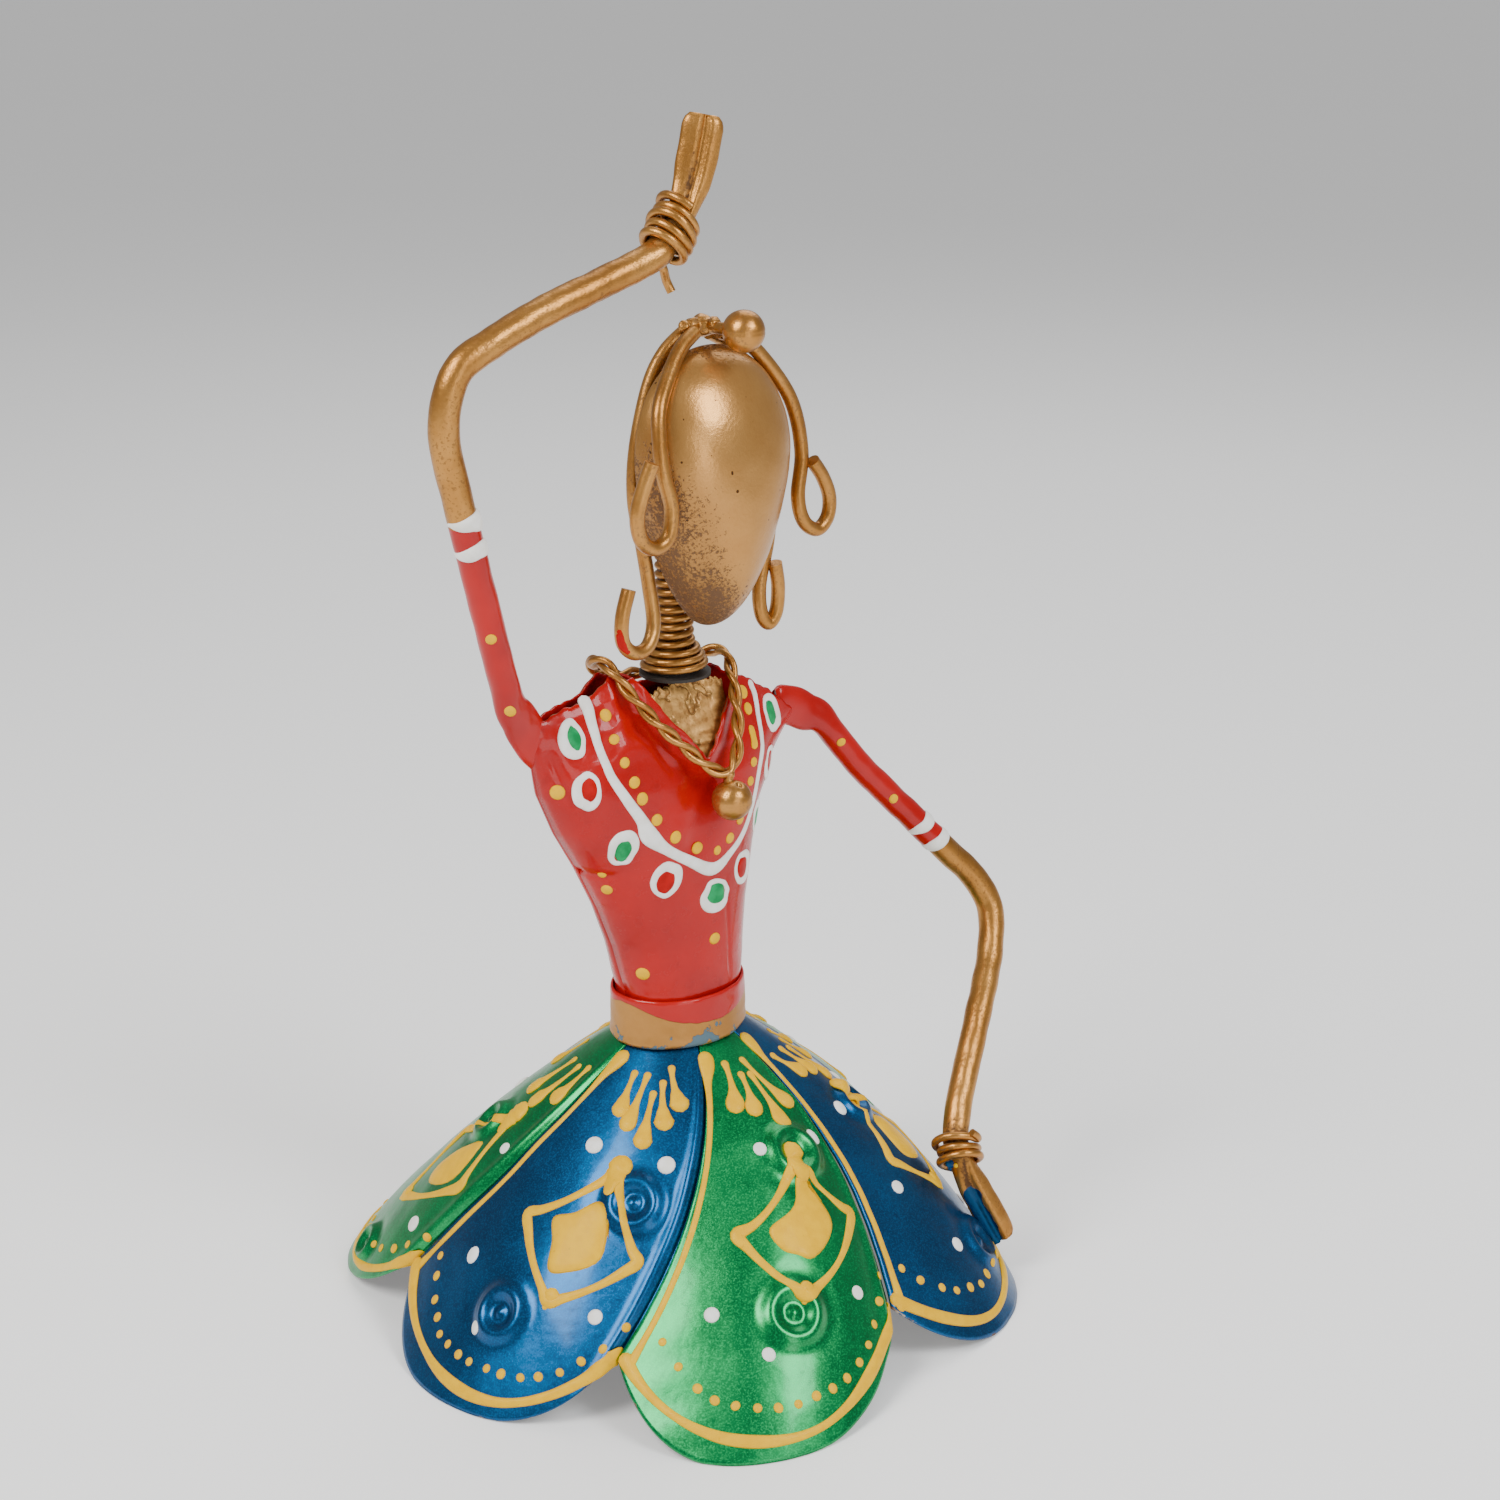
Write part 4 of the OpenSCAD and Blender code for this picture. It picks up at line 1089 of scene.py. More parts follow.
def torsoShell(front):
    u, v = np.meshgrid(np.linspace(-1, 1, torso["cols"]), np.linspace(1, 0, torso["rows"]))
    top = torsoTop(u, front)
    ragged = 0.35 * np.sin(u * 61) * np.sin(u * 23 + 1) * smoothstep(v, 0.9, 1.0)
    z = torso["lowHeight"] + (top + ragged - torso["lowHeight"]) * v
    base = torsoPoint(u, z, front)
    normals = surfaceNormals(base) * (1 if front else -1)
    relief = normals * torsoRelief(u, base, front)[..., None]
    outer = base + relief
    inner = torsoPoint(u, z, front, torso["sheet"]) + relief
    if not front:
        outer, inner, v = outer[:, ::-1], inner[:, ::-1], v[:, ::-1]
    points, faces, _, rimOf = sheetMesh(outer, inner, 0.2)
    edge = smoothstep(v, 0.93, 1.0).ravel()
    name, node = ("torsoFront", "torso_front_shell") if front else ("torsoBack", "torso_back_shell")
    addPiece(name, points, faces, [finishes["red"]], replaced=[node],
             attributes={"edge": np.concatenate([edge, edge * 0.5, edge[rimOf] + 0.12])})


def torsoSurface(front):
    side = 1 if front else -1

    def at(x, z):
        def point(px, pz):
            width = lookup(pz, torso["rightEdge" if px < 0 else "leftEdge"])
            u = np.clip(px / width, -0.97, 0.97)
            return torsoPoint(u, pz, front), u
        h = 0.25
        (p, u), (q, _), (r, _) = point(x, z), point(x + h, z), point(x, z + h)
        up = unit(np.cross(q - p, r - p)) * side
        return p + up * torsoRelief(u, p, front), up
    return at


# Places on the torso are (x, height)
neckLine = [(-27.5, 149.4), (-27.1, 142), (-25.8, 134.5), (-22.6, 128.2), (-19.2, 122.8), (-17.4, 118.8),
            (-13, 114.6), (-7, 110.6), (0, 106.8), (5.6, 109.2), (10.4, 113), (14, 119.5), (16.4, 127.5),
            (18.4, 134.7), (19.5, 140.4), (19.7, 144)]
neckLineWidths = [1.7, 1.15, 1.1, 1.2, 1.35, 2.1, 1.3, 1.35, 1.7, 1.05, 0.95, 0.9, 0.8, 0.8, 0.85, 0.95]
neckDots = [(-23.6, 146.3), (-23.2, 141.2), (-22, 136.1), (-20.2, 131.4), (-18.7, 127.5), (-15.3, 122),
            (-10.7, 117), (-4.4, 112.8), (1.2, 111), (5.1, 112.9), (8.4, 116.5), (12.5, 124.3),
            (13.9, 128.4), (16.1, 139.6), (15.7, 143.2)]
ringSpots = [(-32.1, 142.6, "leaf"), (-30.8, 131.4, "redDot"), (-23.3, 116.6, "leaf"),
             (-12.9, 107.1, "redDot"), (1.1, 100.3, "leaf"), (10.6, 103.9, "redDot"),
             (17.3, 114, "leaf"), (21.4, 126, "redDot"), (24.4, 136.4, "leaf")]
strayDots = [(-36.8, 131.6, 1.7), (-26.2, 110.3, 1.0), (-24.6, 106.3, 1.25), (0.5, 89.8, 1.45),
             (-15.6, 83.8, 1.5)]
torsoPaint = {"ringRadius": (3.45, 3.35), "ringLine": 0.95, "dotSize": 1.25, "centreShare": 0.92,
              "dotRoom": 1.6, "ringRoom": 5.6}


def behind(x, z, room):
    # the same place carried round to the back, kept below the shoulder's edge
    x = -x * 0.93 - 1
    return x, belowShoulder(x, z - 1.5, room)


def paintTorso():
    white = PaintPot("whiteTorsoPaint", finishes["white"], "gold_paint", 0.32)
    yellow = PaintPot("yellowTorsoPaint", finishes["yellow"], "gold_paint", 0.36)
    centres = {"leaf": PaintPot("greenRingCentres", finishes["leaf"], "green_enamel", 0.3),
               "redDot": PaintPot("redRingCentres", finishes["redDot"], "red_enamel", 0.3)}
    rng = np.random.default_rng(9)
    for front in (True, False):
        surface = torsoSurface(front)
        line = neckLine if front else [behind(x, z, torsoPaint["dotRoom"]) for x, z in neckLine]
        white.stroke(surface, line, neckLineWidths, 8, seed=3)
        for x, z in neckDots:
            place = (x, z) if front else behind(x, z, torsoPaint["dotRoom"])
            yellow.dab(surface, place, torsoPaint["dotSize"] + rng.uniform(-0.2, 0.25))
        for i, (x, z, kind) in enumerate(ringSpots):
            cx, cz = (x, z) if front else behind(x, z, torsoPaint["ringRoom"])
            width = lookup(cz, torso["rightEdge" if cx < 0 else "leftEdge"])
            lean = math.sqrt(max(0.2, 1 - (cx / width) ** 2))
            wide, high = torsoPaint["ringRadius"]
            radii = (wide * lean, high)
            white.ring(surface, (cx, cz), radii, torsoPaint["ringLine"], 60 + i)
            turn = np.linspace(0, 2 * math.pi, 9)[:-1]
            sizes = 1 + rng.uniform(-0.12, 0.12, 8)
            share = torsoPaint["centreShare"]
            outline = [(cx + radii[0] * share * w * math.cos(a), cz + radii[1] * share * w * math.sin(a))
                       for a, w in zip(turn, sizes)]
            centres[kind].puddle(surface, outline, 0.28)
        if front:
            yellow.stroke(surface, [(14.7, 132.2), (14.9, 135.4)], [1.1, 1.0], 4)
            for x, z, size in strayDots:
                yellow.dab(surface, (x, z), size)
    return white, yellow, centres


chest = {"low": 124, "top": 149.2, "halfWidth": 12, "front": 1.8, "back": 2.5, "rows": 76, "cols": 72}


def chestGrid(inset):
    u, v = np.meshgrid(np.linspace(-1, 1, chest["cols"]), np.linspace(1, 0, chest["rows"]))
    x = u * (chest["halfWidth"] - np.abs(u))
    top = chest["top"] - np.abs(u) * 2 - 0.35 + 0.5 * np.sin(u * 31) * np.sin(u * 13 + 2)
    z = chest["low"] + (top - chest["low"]) * v
    side = np.where(x < 0, x / lookup(z, torso["rightEdge"]), x / lookup(z, torso["leftEdge"]))
    closing = np.sqrt(np.clip((151.4 - z) / 16, 0, 1))
    depth = lookup(z, torso["depth"]) * closing - inset
    y = torso["middleY"] + depth * np.sqrt(1 - np.abs(side) ** torso["roundness"])
    base = np.stack([x, -y, z], -1)
    wrinkle = 0.20 * waves(base, 8.5, 11) + 0.12 * waves(base * [0.5, 1, 2.2], 4.2, 12)
    base[..., 1] -= wrinkle * smoothstep(v, 0.0, 0.3) + 0.5 * smoothstep(v, 0.93, 1.0)
    return base


def makeChest():
    points, faces, *_ = sheetMesh(chestGrid(chest["front"]), chestGrid(chest["back"]))
    addPiece("bareChest", points, faces, [finishes["chest"]], replaced=["chest_plate"])


def ringShell(outer, inner):
    # closed band between two wrapped grids of points, rows down and columns round
    rows, cols = outer.shape[:2]
    n = rows * cols
    faces = gridFaces(rows, cols, wrap=True) + gridFaces(rows, cols, n, flip=True, wrap=True)
    for c in range(cols):
        d = (c + 1) % cols
        faces.append([c, d, n + d, n + c])
        e, f = (rows - 1) * cols + c, (rows - 1) * cols + d
        faces.append([f, e, n + e, n + f])
    return np.concatenate([outer.reshape(-1, 3), inner.reshape(-1, 3)]), faces


def makeBelt():
    low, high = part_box("waist_belt")
    lowZ, highZ = low.z / mm, high.z / mm
    v, angle = np.meshgrid(np.linspace(1, 0, 26), np.linspace(0, 2 * math.pi, 181)[:-1], indexing="ij")
    bevel = 0.28 * (smoothstep(v, 0.06, 0.0) + smoothstep(v, 0.94, 1.0))

    def band(inset):
        w, d = belt["halfWidth"] - inset, belt["halfDepth"] - inset
        points = np.stack([w * np.sin(angle), -d * np.cos(angle), lowZ + (highZ - lowZ) * v], -1)
        away = unit(points * [1, 1, 0])
        dents = 0.14 * waves(points, 14, 15) + 0.05 * waves(points, 4, 16)
        flare = 0.30 * smoothstep(0.25 - v, 0, 0.25)
        return points + away * (dents + flare)[..., None], away
    outer, away = band(0)
    inner, _ = band(belt["sheet"])
    points, faces = ringShell(outer - away * bevel[..., None], inner)
    addPiece("waistBand", points, faces, [finishes["belt"]], replaced=["waist_belt"])


torsoShell(True)
torsoShell(False)
makeChest()
makeBelt()
whitePaint, yellowPaint, ringCentres = paintTorso()
print("torso done")


# Arms: each is one bent tube with a flattened, folded hand
arms = {
    "raised": {
        "node": "raised_arm", "redEnd": 48.6, "stainSeed": 31,
        "root": [(-35.5, 0.6, 138.0), (-40.2, 0.2, 143.4)],
        "path": [(-44, -0.6, 149), (-46.5, -1, 153), (-50.4, -2, 165.6), (-54.5, -3, 179.5),
                 (-60.8, -5, 199.7), (-64, -6, 211), (-64.4, -7, 219), (-61.5, -8, 226.6), (-54, -9, 231),
                 (-42.4, -10, 235.7), (-27.7, -11, 240.2), (-16, -12, 244), (-12.4, -12.3, 246.6),
                 (-8.6, -12.6, 251.4), (-5.6, -13, 258), (-3.8, -13.5, 265.4), (-2.6, -14, 272)],
        "cuffs": [(42.2, 1.6), (49.0, 1.9)], "cuffSide": 105, "dots": [(4.8, 60, 1.35), (22.5, 52, 1.2)],
        "groove": -0.12, "flapSide": 1, "leaf": 0.22, "twist": -40, "splash": 0.0,
    },
    "lowered": {
        "node": "lowered_arm", "redEnd": 50.0, "stainSeed": 32,
        "root": [(29.5, 0.4, 136.2), (35, 0.3, 134.6)],
        "path": [(40, 0, 132), (43.5, -0.8, 130.2), (48, -2, 124.5), (54, -4, 116.3),
                 (64, -7, 105.3), (74.1, -12, 93.4), (82, -16.5, 83.5), (83.6, -20, 76),
                 (79.4, -24, 67), (69.7, -30, 57), (62, -34, 47.6), (55, -38, 39.5), (50.5, -41.5, 33),
                 (50, -44.5, 28), (51.6, -47.8, 21.6), (53.8, -50.6, 15), (55.8, -52.6, 9.4)],
        "cuffs": [(44.6, 1.4), (50.4, 1.4)], "cuffSide": 70, "dots": [(11.4, 112, 1.1), (33.0, 108, 1.2)],
        "groove": -0.15, "flapSide": -1, "leaf": 0.0, "twist": 20, "splash": 1.0,
    },
}
armShape = {"radius": 3.2, "sides": 36, "spacing": 0.9, "handLength": 25.0, "handWide": 1.2,
            "handThin": 0.62, "shoulderLength": 13.0, "shoulderWide": 1.45, "shoulderThin": 0.55}


def armFrames(arm):
    fine = curvePoints(arm["root"] + arm["path"], 24)
    path = evenly(fine, int(lengths(fine)[-1] / armShape["spacing"]))
    tangent = unit(np.gradient(path, axis=0))
    side = unit(np.cross(tangent, [0, 1, 0]))
    up = np.cross(tangent, side)
    rootLength = lengths(curvePoints(arm["root"] + arm["path"][:1], 24))[-1]
    along = lengths(path) - rootLength
    return path, tangent, side, up, along


def armSection(arm, along, total, angle):
    # offsets across and through the arm at a distance along it and an angle round it
    hand = smoothstep(along, total - armShape["handLength"], total - armShape["handLength"] + 11)
    shoulder = smoothstep(armShape["shoulderLength"] - 3 - along, 0, armShape["shoulderLength"])
    wide = 1 + (armShape["handWide"] - 1) * hand + (armShape["shoulderWide"] - 1) * shoulder
    thin = 1 + (armShape["handThin"] - 1) * hand + (armShape["shoulderThin"] - 1) * shoulder
    c, s = np.cos(angle), np.sin(angle)
    fold = 0.95 * np.exp(-((c - arm["groove"]) / 0.17) ** 2) * np.clip(s, 0, 1) * hand
    flap = 0.30 * smoothstep(arm["flapSide"] * (c - arm["groove"]), 0, 0.5) * np.clip(s, 0, 1) * hand
    leaf = 1 + arm["leaf"] * (smoothstep(along, total - 20, total - 7) - 0.45) * hand
    pinch = 1 - 0.14 * np.exp(-((along - total + armShape["handLength"] - 1) / 5.0) ** 2)
    across = armShape["radius"] * wide * pinch * leaf * c
    through = armShape["radius"] * thin * s * (1 - fold - flap)
    twist = math.radians(arm["twist"]) * hand
    return (across * np.cos(twist) - through * np.sin(twist),
            across * np.sin(twist) + through * np.cos(twist))


def makeArm(label):
    arm = arms[label]
    path, tangent, side, up, along = armFrames(arm)
    total, count, sides = along[-1], len(path), armShape["sides"]
    angle = np.linspace(0, 2 * math.pi, sides + 1)[:-1]
    rings = []
    closing = np.ones(count)
    closing[:2], closing[-3:] = (0.7, 0.93), (0.97, 0.9, 0.72)
    for i in range(count):
        across, through = armSection(arm, along[i], total, angle)
        ring = path[i] + (np.outer(across, side[i]) + np.outer(through, up[i])) * closing[i]
        rings.append(ring)
    grid = np.array(rings)
    grid += unit(grid - path[:, None]) * (0.07 * waves(grid, 6, arm["stainSeed"]))[..., None]
    faces = gridFaces(count, sides, flip=True, wrap=True)
    points = np.concatenate([grid.reshape(-1, 3), path[:1], path[-1:] - tangent[-1] * 0.8])
    first, last = count * sides, count * sides + 1
    for c in range(sides):
        d = (c + 1) % sides
        faces.append([c, d, first])
        faces.append([(count - 1) * sides + d, (count - 1) * sides + c, last])
    alongAll = np.repeat(along, sides)
    flat = grid.reshape(-1, 3)
    hand = smoothstep(alongAll, total - 26, total - 16)
    inFold = np.exp(-((np.cos(angle) - arm["groove"] - 0.22 * arm["flapSide"]) / 0.3) ** 2)
    hollow = np.tile(inFold * np.clip(np.sin(angle), 0, 1), count)
    # painted shade: darker where the arm's surface faces down
    under = smoothstep(-unit(grid - path[:, None])[..., 2].ravel(), 0.1, 0.9)
    wrapShade = np.exp(-((alongAll - (total - 27)) / 5) ** 2)
    # the mask sums painted shade under the arm and round the wrist wrap, brown in the hand's fold and random
    # tone
    stainAndShade = (0.35 * under + 0.85 * hollow * hand * smoothstep(total - alongAll, 4, 14) + 0.5 * wrapShade
             + 0.2 * waves(flat, 30, 7))
    splashSide = np.tile(np.exp(-((angle - 2.2) / 0.62) ** 2), count)
    splash = arm["splash"] * smoothstep(alongAll, total - 18, total - 13) * splashSide

    def pad(values):
        return np.concatenate([values, [0.3, 0.6]])

    addPiece(label + "Arm", points, faces, [finishes["arm"]], replaced=[arm["node"]],
             attributes={"along": pad(alongAll), "stainAndShade": pad(stainAndShade), "splash": pad(splash),
                         "redEnd": np.full(len(points), arm["redEnd"])})
    decorateArm(label)


def armSurface(label):
    arm = arms[label]
    path, _, side, up, along = armFrames(arm)
    total = along[-1]

    def surface(turn, distance):
        def pick(rows):
            return np.array([np.interp(distance, along, rows[:, k]) for k in range(3)])

        across, through = armSection(arm, distance, total, math.radians(turn))
        offset = pick(side) * across + pick(up) * through
        return pick(path) + offset, unit(offset)
    return surface


def decorateArm(label):
    arm, surface = arms[label], armSurface(label)
    for i, (place, width) in enumerate(arm["cuffs"]):
        turns = np.arange(0, 360, 45)
        rng = np.random.default_rng(int(place * 7))
        loop = [(t, place + 0.6 * math.sin(math.radians(t + 40)) + rng.uniform(-0.3, 0.3)) for t in turns]
        heavy = arm["cuffSide"] + 35 * i
        widths = [width * (0.66 + 0.52 * math.cos(math.radians(t - heavy))) for t in turns]
        # the stroke goes round in degrees, so it is closed by hand at 360
        loop.append((360, loop[0][1]))
        widths.append(widths[0])
        whitePaint.stroke(surface, loop, widths, 6, unevenness=0.05)
    for place, turn, size in arm["dots"]:
        yellowPaint.dab(surface, (turn, place), size)


# Wrist wraps
wraps = {
    "raised": {"node": "raised_wrist_wrap", "turns": 4.6, "rise": 2.05, "start": 215,
               "lean": (0.04, -0.10), "shear": 0.30, "tail": [(2.0, 1.2, -3.2), (2.9, 0.6, -5.6)]},
    "lowered": {"node": "lowered_wrist_wrap", "turns": 2.8, "rise": 2.1, "start": 60,
                "lean": (-0.06, 0.04), "shear": 0.34, "tail": [(-1.2, -0.9, 1.5), (-2.8, -0.7, 2.9)]},
}
wrapShape = {"wire": 1.9, "radius": 4.75, "wristPoint": 12, "stepsPerTurn": 26, "sides": 14}


def crossways(axis):
    right = unit(np.cross(axis, [0, 1, 0]))
    return right, np.cross(axis, right)


def makeWrap(label):
    wrap, path = wraps[label], arms[label]["path"]
    p, q = [np.array(path[wrapShape["wristPoint"] + i]) for i in (0, 1)]
    middle, axis = (p + q) / 2, unit(q - p)
    right, front = crossways(axis)
    axis = unit(axis + right * wrap["lean"][0] + front * wrap["lean"][1])
    right, front = crossways(axis)
    share = np.linspace(0, 1, int(wrap["turns"] * wrapShape["stepsPerTurn"]))
    angle = np.radians(wrap["start"]) + share * wrap["turns"] * 2 * math.pi
    radius = wrapShape["radius"] + 0.35 * np.sin(angle * 0.37 + 1) + 0.12 * np.sin(angle * 2.3)
    lift = (share - 0.5) * wrap["rise"] * wrap["turns"] + 0.2 * np.sin(angle * 1.7)
    lift += wrap["shear"] * radius * np.cos(angle)
    coil = (middle + np.outer(radius * np.cos(angle), right) + np.outer(radius * np.sin(angle), front)
            + np.outer(lift, axis))
    tail = [coil[0] + np.array(step) for step in wrap["tail"]]
    route = curvePoints(np.concatenate([tail[::-1], coil[::2]]), 3)
    addWire(label + "WristWrap", [route], wrapShape["wire"], finishes["wire"], "root",
            [wrap["node"]], sides=wrapShape["sides"])


for label in ("raised", "lowered"):
    makeArm(label)
    makeWrap(label)
blueDrops = PaintPot("bluePaintDrops", finishes["blueDrop"], "blue_enamel", 0.9)
for distance, turn, size in ((138.6, 192, 1.3), (139.6, 212, 0.8)):
    blueDrops.dab(armSurface("lowered"), (turn, distance), size)
yellowPaint.dab(armSurface("lowered"), (158, 139.4), 0.6)
blueDrops.finishPiece()
whitePaint.finishPiece()
yellowPaint.finishPiece()
for pot in ringCentres.values():
    pot.finishPiece()
print("arms done")


# Neck spring: two pieces, cut at one height
spring = {"low": 150.55, "top": 196.0, "wire": 1.5, "drawnWire": 1.62, "outer": 8.8, "foot": 15.8,
          "turns": 23, "footTurns": 3, "split": 166.0, "bend": 5.0, "stepsPerTurn": 28}


def springPath():
    turn = np.linspace(0, spring["turns"], spring["turns"] * spring["stepsPerTurn"] + 1)
    foot, top = (spring["foot"] - spring["wire"]) / 2, (spring["outer"] - spring["wire"]) / 2
    radius = foot + (top - foot) * np.minimum(1, turn / (spring["footTurns"] + 1)) ** 1.3
    close = spring["wire"] + 0.08
    rise = ((spring["top"] - spring["low"] - spring["wire"] * (spring["footTurns"] + 1))
            / (spring["turns"] - spring["footTurns"]))
    z = spring["low"] + spring["wire"] / 2 + np.where(
        turn < spring["footTurns"], turn * close,
        spring["footTurns"] * close + (turn - spring["footTurns"]) * rise)
    radius = radius + 0.10 * np.sin(turn * 0.9) + 0.06 * np.sin(turn * 5.1)
    a = turn * 2 * math.pi
    return np.stack([radius * np.cos(a), radius * np.sin(a), z], -1)


def makeSpring():
    path = springPath()
    cut = int(np.argmax(path[:, 2] > spring["split"]))
    halves = [("springLower", path[:cut + 1], "neck_sway", ("root", "neck")),
              ("springUpper", path[cut:], "neck_nod", ("neck", "head"))]
    for name, part, joint, bodies in halves:
        piece = addWire(name, [part], spring["drawnWire"], finishes["spring"], None,
                        ["neck_spring"], sides=12)
        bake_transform(piece)


makeSpring()
print("spring done")


# Head: face, hair wires, weld and brow ball
face = {
    "rimY": -11.0, "middle": 193.9, "height": 61.0, "halfWidth": 18.8, "dome": 15.0, "sheet": 0.8,
    "rings": 46, "sectors": 144,
    # scratches in the cheek: from (x, height) to (x, height), width, depth
    "scratches": [(15.6, 178.6, 14.2, 175.4, 0.28, 0.5), (13.4, 173.4, 11.4, 170.2, 0.28, 0.5)],
}


def facePoint(out, a, inset=0.0):
    w, h, d = face["halfWidth"] - inset, face["height"] / 2 - inset, face["dome"] - inset
    reach = np.sin(out * math.pi / 2)
    x = w * np.sin(a) * (1 + 0.35 * np.cos(a)) * reach
    z = face["middle"] + h * np.cos(a) * reach
    return np.stack([x, face["rimY"] - d * np.cos(out * math.pi / 2), z], -1)


def makeFace():
    # a domed shell closed at its middle, with brown stain in a band and a spot at the chin, darker towards
    # the chin and the crown, and painted shade along the figure's right rim and over the inside
    rings, sectors = face["rings"], face["sectors"]
    turn = np.linspace(0, 2 * math.pi, sectors + 1)[:-1]
    out, a = np.meshgrid(np.linspace(0.02, 1, rings), turn, indexing="ij")
    outer, inner = facePoint(out, a), facePoint(out, a, face["sheet"])
    away = unit(outer - [0, face["rimY"], face["middle"]])
    dents = (0.16 * waves(outer, 24, 21) + 0.03 * waves(outer, 7, 22)) * smoothstep(1 - out, 0, 0.15)
    cuts = creaseDepth(outer[..., 0], outer[..., 2], face["scratches"])
    outer, inner = outer + away * (dents - cuts)[..., None], inner + away * dents[..., None]
    n = rings * sectors
    rim = (outer[-1] + inner[-1]) / 2 + [0, 0.30, 0]
    centre = np.array([0.0])
    points = np.concatenate([outer.reshape(-1, 3), inner.reshape(-1, 3), rim,
                             facePoint(centre, centre), facePoint(centre, centre, face["sheet"])])
    faces = gridFaces(rings, sectors, wrap=True) + gridFaces(rings, sectors, n, flip=True, wrap=True)
    tipOut, tipIn = 2 * n + sectors, 2 * n + sectors + 1
    for c in range(sectors):
        d = (c + 1) % sectors
        faces.append([d, tipOut, c])
        faces.append([n + c, tipIn, n + d])
        e, f = (rings - 1) * sectors + c, (rings - 1) * sectors + d
        faces.append([e, 2 * n + c, 2 * n + d, f])
        faces.append([2 * n + c, n + e, n + f, 2 * n + d])
    x, z = points[:, 0], points[:, 2]
    band = np.exp(-((x + 12.5 - (196 - z) * 0.24) / 5.2) ** 2) * smoothstep(214 - z, 0, 26)
    chin = 0.62 * smoothstep(177 - z, -8, 9) + 0.5 * np.exp(-((x + 3.5) / 4) ** 2 - ((z - 167) / 4.5) ** 2)
    # painted shade along the figure's right rim
    rimShade = 0.9 * smoothstep(-x - 0.2 * (z - 194), 12.5, 17.5) * smoothstep(218 - z, 0, 20)
    crown = 0.8 * smoothstep(z, 219, 225)
    stainAndShade = np.clip(0.75 * band + chin + crown + rimShade, 0, 1.2)
    # painted shade over the inside of the shell
    stainAndShade[n:2 * n] = 1.1
    stainAndShade[2 * n:2 * n + sectors] = 0.0
    makeOutward(addPiece("faceShell", points, faces, [finishes["face"]], "head", ["face_shell"],
                         attributes={"stainAndShade": stainAndShade}))


hairWire = {"diameter": 3.2, "sides": 22, "paths": {
    "frontRight": [(-3.4, -11.3, 227.4), (-8, -12.5, 225), (-12.8, -14.5, 220.8), (-18.4, -17.6, 214.4),
                   (-19.9, -19.2, 208), (-19.7, -20.2, 201), (-18.2, -20.8, 194.2), (-19.2, -21, 188.2),
                   (-22.8, -21, 186.2), (-26.8, -21.4, 188.6), (-28.4, -22, 194), (-27.2, -22.8, 200),
                   (-25.6, -23.6, 205)],
    "backRight": [(-3.4, -7.9, 227), (-8.4, -7.4, 223.2), (-12.6, -7.2, 216.6), (-16.6, -7.6, 204),
                  (-17.4, -7.8, 193.2), (-15.4, -7.9, 183), (-14, -8.2, 174), (-13.9, -9.4, 166),
                  (-16.6, -10.6, 161.6), (-20.6, -11, 161), (-23.9, -11.3, 164), (-24.2, -11.5, 169.4),
                  (-22.3, -11.5, 175.4)],
    "frontLeft": [(3.6, -11.3, 226.8), (8, -12, 225), (13.4, -12.8, 221.2), (21.4, -14, 210.6),
                  (23.9, -15, 199), (22, -16, 189.4), (23.2, -16.6, 183.6), (26.8, -17, 181.2),
                  (29.9, -17, 183.4), (30.5, -17, 187.8), (28.5, -17, 192.6), (25.3, -17, 196.8)],
    "backLeft": [(3.6, -7.9, 226.2), (8.6, -7.4, 223.6), (14, -6.8, 218.6), (20, -6.6, 206),
                 (22.2, -7, 192), (20.9, -7.6, 179), (18.0, -8, 168.6), (17.9, -8.6, 162.2),
                 (19.8, -9, 159.4), (21.9, -9.2, 161.8), (22.3, -9.4, 167.4), (21.0, -9.8, 173.2)],
}}
hairNodes = {"frontRight": "hair_wire_front_right", "backRight": "hair_wire_back_right",
             "frontLeft": "hair_wire_front_left", "backLeft": "hair_wire_back_left"}
balls = {"radius": 4.5, "brow": (1.7, -21.0, 228.3), "pendant": (0.7, -18.2, 124.6), "fineness": 5}
# balls of weld metal: centre and radius
welds = {
    "roughness": 0.18,
    "crown": [(0.2, -9.6, 228.2, 2.5), (-2.6, -9.8, 228.6, 1.7), (2.4, -10.4, 228.2, 1.8),
              (0.8, -12.8, 228.8, 1.6), (-4.8, -9.6, 228.6, 1.1), (0.4, -6.9, 227.4, 1.3)],
    "pendant": [(0.7, -17.2, 129.9, 1.15), (0.2, -17.5, 128.9, 1.1), (1.5, -17.0, 130.3, 0.8)],
}


def makeHair():
    for label, path in hairWire["paths"].items():
        addWire("hair" + label[0].upper() + label[1:], [curvePoints(path, 12)], hairWire["diameter"],
                finishes["gold"], "head", [hairNodes[label]], sides=hairWire["sides"])


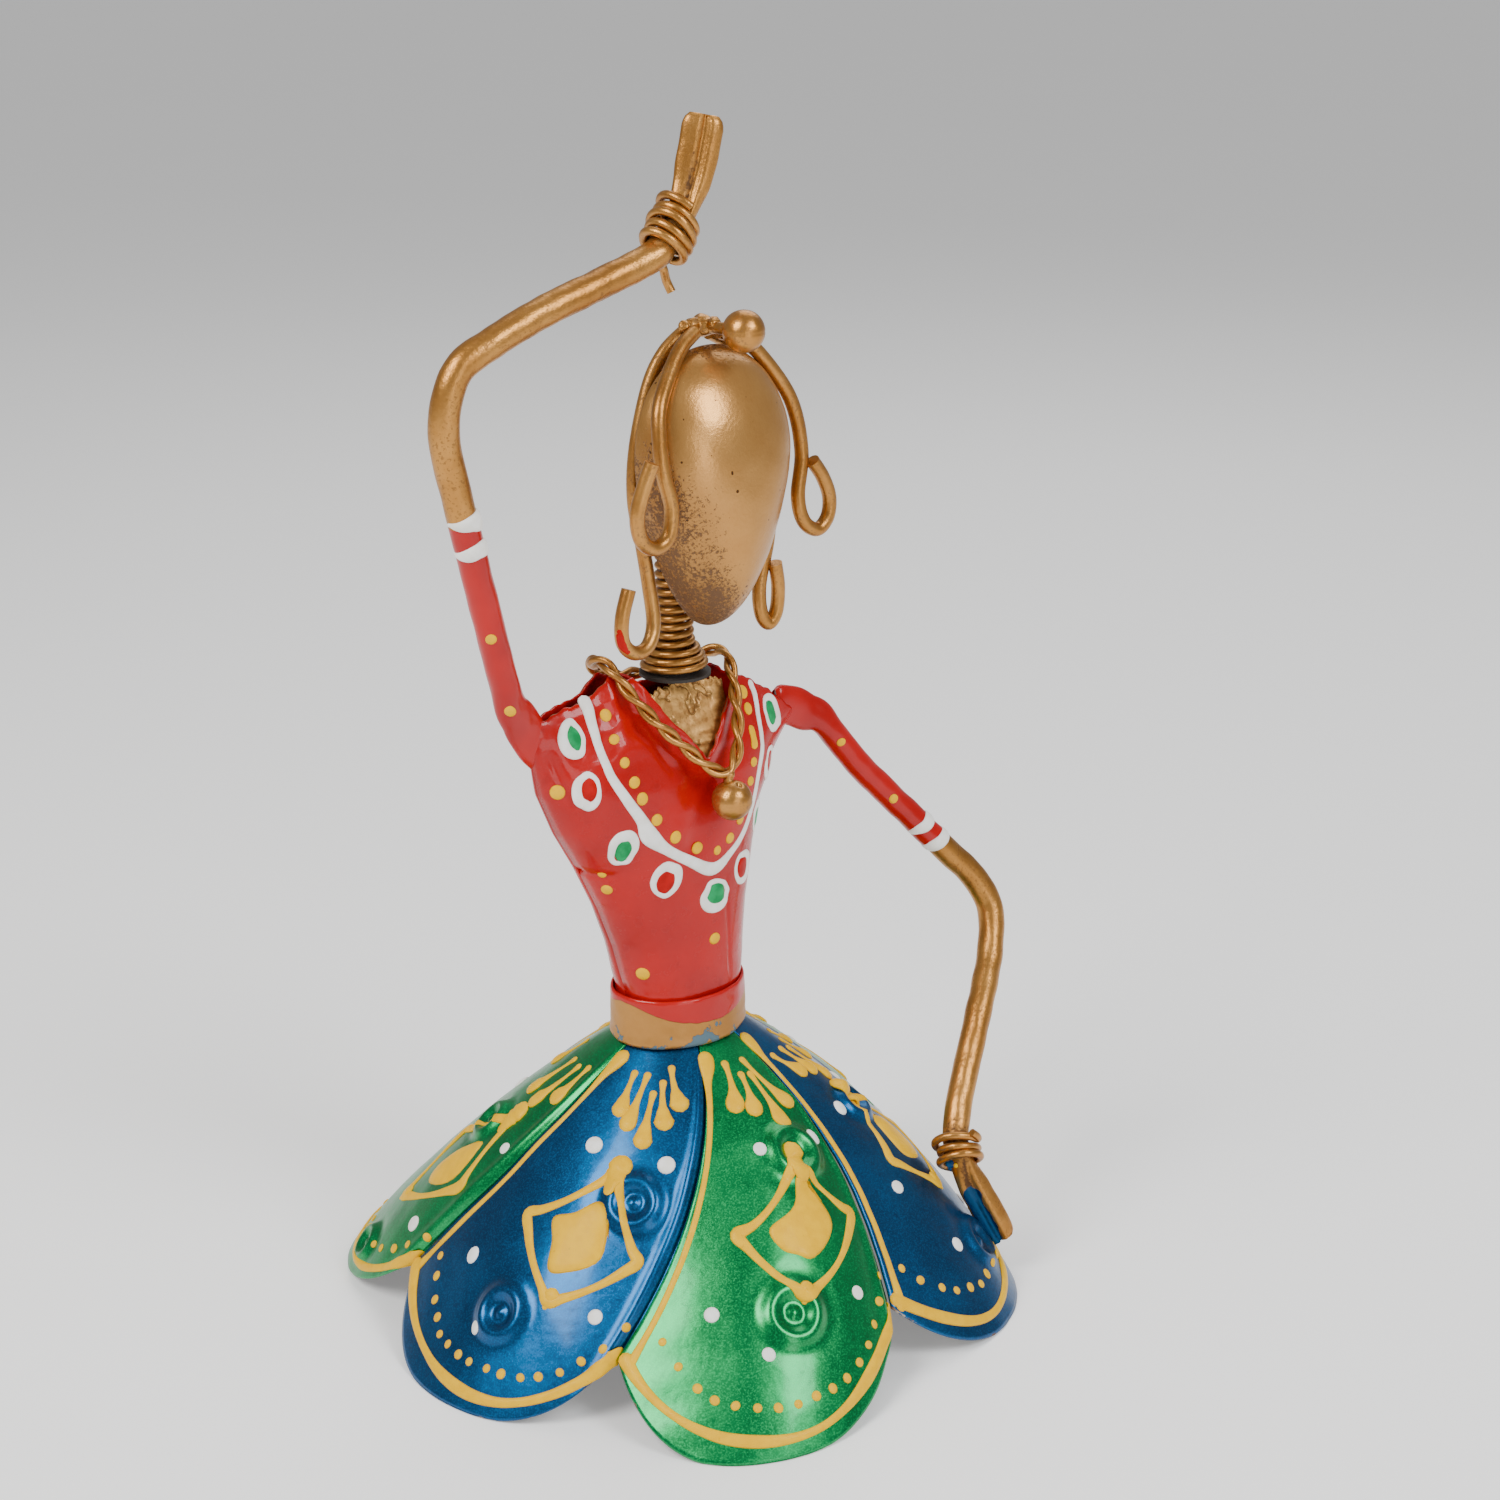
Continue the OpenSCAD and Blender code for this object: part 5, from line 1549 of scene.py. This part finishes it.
def fusedLumps(name, lumps, voxel, body, replaced=()):
    # weld metal: overlapping balls melted into one skin
    bm = bmesh.new()
    for x, y, z, r in lumps:
        made = bmesh.ops.create_icosphere(bm, subdivisions=3, radius=r)
        bmesh.ops.translate(bm, verts=made["verts"], vec=(x, y, z))
    raw = bpy.data.meshes.new(name)
    bm.to_mesh(raw)
    bm.free()
    source = bpy.data.objects.new(name + "Source", raw)
    bpy.context.scene.collection.objects.link(source)
    melt = source.modifiers.new("melt", "REMESH")
    melt.mode, melt.voxel_size = "VOXEL", voxel
    evaluated = source.evaluated_get(bpy.context.evaluated_depsgraph_get())
    skin = bpy.data.meshes.new_from_object(evaluated)
    bpy.data.objects.remove(source)
    points = np.empty(len(skin.vertices) * 3)
    skin.vertices.foreach_get("co", points)
    points = points.reshape(-1, 3)
    normals = np.array([v.normal for v in skin.vertices])
    points += normals * (welds["roughness"] * waves(points, 2.2, 17))[:, None]
    faces = [list(p.vertices) for p in skin.polygons]
    addPiece(name, points, faces, [finishes["gold"]], body, replaced)


def makeBall(name, centre, body, node, hole=None):
    # a ball with a faint seam round its middle, and a pinhole towards hole when one is given
    radius = balls["radius"]
    bm = bmesh.new()
    bmesh.ops.create_icosphere(bm, subdivisions=balls["fineness"], radius=1.0)
    unitPoints = np.array([v.co for v in bm.verts])
    faces = [[v.index for v in f.verts] for f in bm.faces]
    bm.free()
    relief = 0.035 * waves(unitPoints * radius, 5, 23) - 0.06 * np.exp(-(unitPoints[:, 2] / 0.03) ** 2)
    if hole is not None:
        off = np.linalg.norm(unitPoints - unit(hole), axis=1)
        relief = relief - 0.9 * np.exp(-(off / 0.13) ** 2)
    points = np.array(centre) + unitPoints * (radius + relief)[:, None]
    # painted shade: darker on the ball's underside and, where one is given, in the pinhole
    stainAndShade = smoothstep(-unitPoints[:, 2], 0.35, 1.0) * 0.75
    if hole is not None:
        stainAndShade = stainAndShade + np.exp(-(off / 0.14) ** 2)
    addPiece(name, points, faces, [finishes["ball"]], body, [node], attributes={"stainAndShade": stainAndShade})


def makeHairSpot():
    # a slip of the red brush on the curl beside the figure's right shoulder
    path = curvePoints(hairWire["paths"]["backRight"], 12)
    pot = PaintPot("redSlip", finishes["redDot"], "red_enamel", 0.22)
    away = unit(np.array([-0.75, -0.62, 0.1]))

    def surface(distance, turn):
        at = int(np.argmin(np.abs(lengths(path) - distance)))
        tangent = unit(path[min(at + 1, len(path) - 1)] - path[at - 1])
        across = unit(np.cross(tangent, away))
        facing = np.cross(across, tangent)
        a = math.radians(turn)
        up = facing * math.cos(a) + across * math.sin(a)
        return path[at] + up * hairWire["diameter"] / 2, up
    total = lengths(path)[-1]
    pot.stroke(surface, [(total - 13.5, 10), (total - 11, 2), (total - 8.5, -6)], [0.5, 0.95, 0.55], 5)
    pot.finishPiece("head")


makeFace()
makeHair()
makeHairSpot()
makeBall("browBall", balls["brow"], "head", "brow_ball")
fusedLumps("crownWeld", welds["crown"], 0.28, "head", ["hair_weld"])
print("head done")


# Necklace: two twisted strands and a pendant ball
necklace = {
    "wire": 1.5, "turns": 9, "twistRadius": 0.79,
    "path": [(0.7, -16.4, 130.6), (-4.2, -15.6, 133), (-9.2, -13.4, 138.2), (-14.6, -10.6, 144.2),
             (-18.8, -6.4, 151), (-20.2, -1.2, 155.8), (-19.4, 5, 155.4), (-14.6, 9.6, 151.4),
             (-5.6, 12.2, 148), (4.4, 12, 146.8), (11.4, 9, 148.8), (14.4, 3.6, 151.4), (13.6, -2, 151.2),
             (10.6, -7.8, 146.2), (7.2, -12.8, 139.2), (4.2, -15.6, 133.4)],
}


def makeNecklace():
    loop = curvePoints(necklace["path"], 14, closed=True)
    for strand, phase in (("A", 0.0), ("B", math.pi)):
        addWire("necklaceWire" + strand, [loop], necklace["wire"], finishes["wire"], "necklace",
                ["necklace_strand_" + strand.lower()], closed=True, sides=12,
                twist=(necklace["twistRadius"], necklace["turns"], phase))
    fusedLumps("pendantWeld", welds["pendant"], 0.25, "necklace")
    makeBall("pendantBall", balls["pendant"], "necklace", "pendant_ball", hole=(0.1, -0.45, 0.9))


makeNecklace()
print("necklace done")


# Pieces that keep their CAD shape and take a finish
def repaint(node, finishName):
    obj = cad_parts[node]
    obj.data.materials.clear()
    obj.data.materials.append(finishes[finishName])


# the neck plate takes the near-black painted shadow
for node, finishName in (("waist_plate", "iron"), ("neck_plate", "shadowBlack"), ("head_bracket", "iron"),
                         ("brow_ball_pin", "gold")):
    repaint(node, finishName)
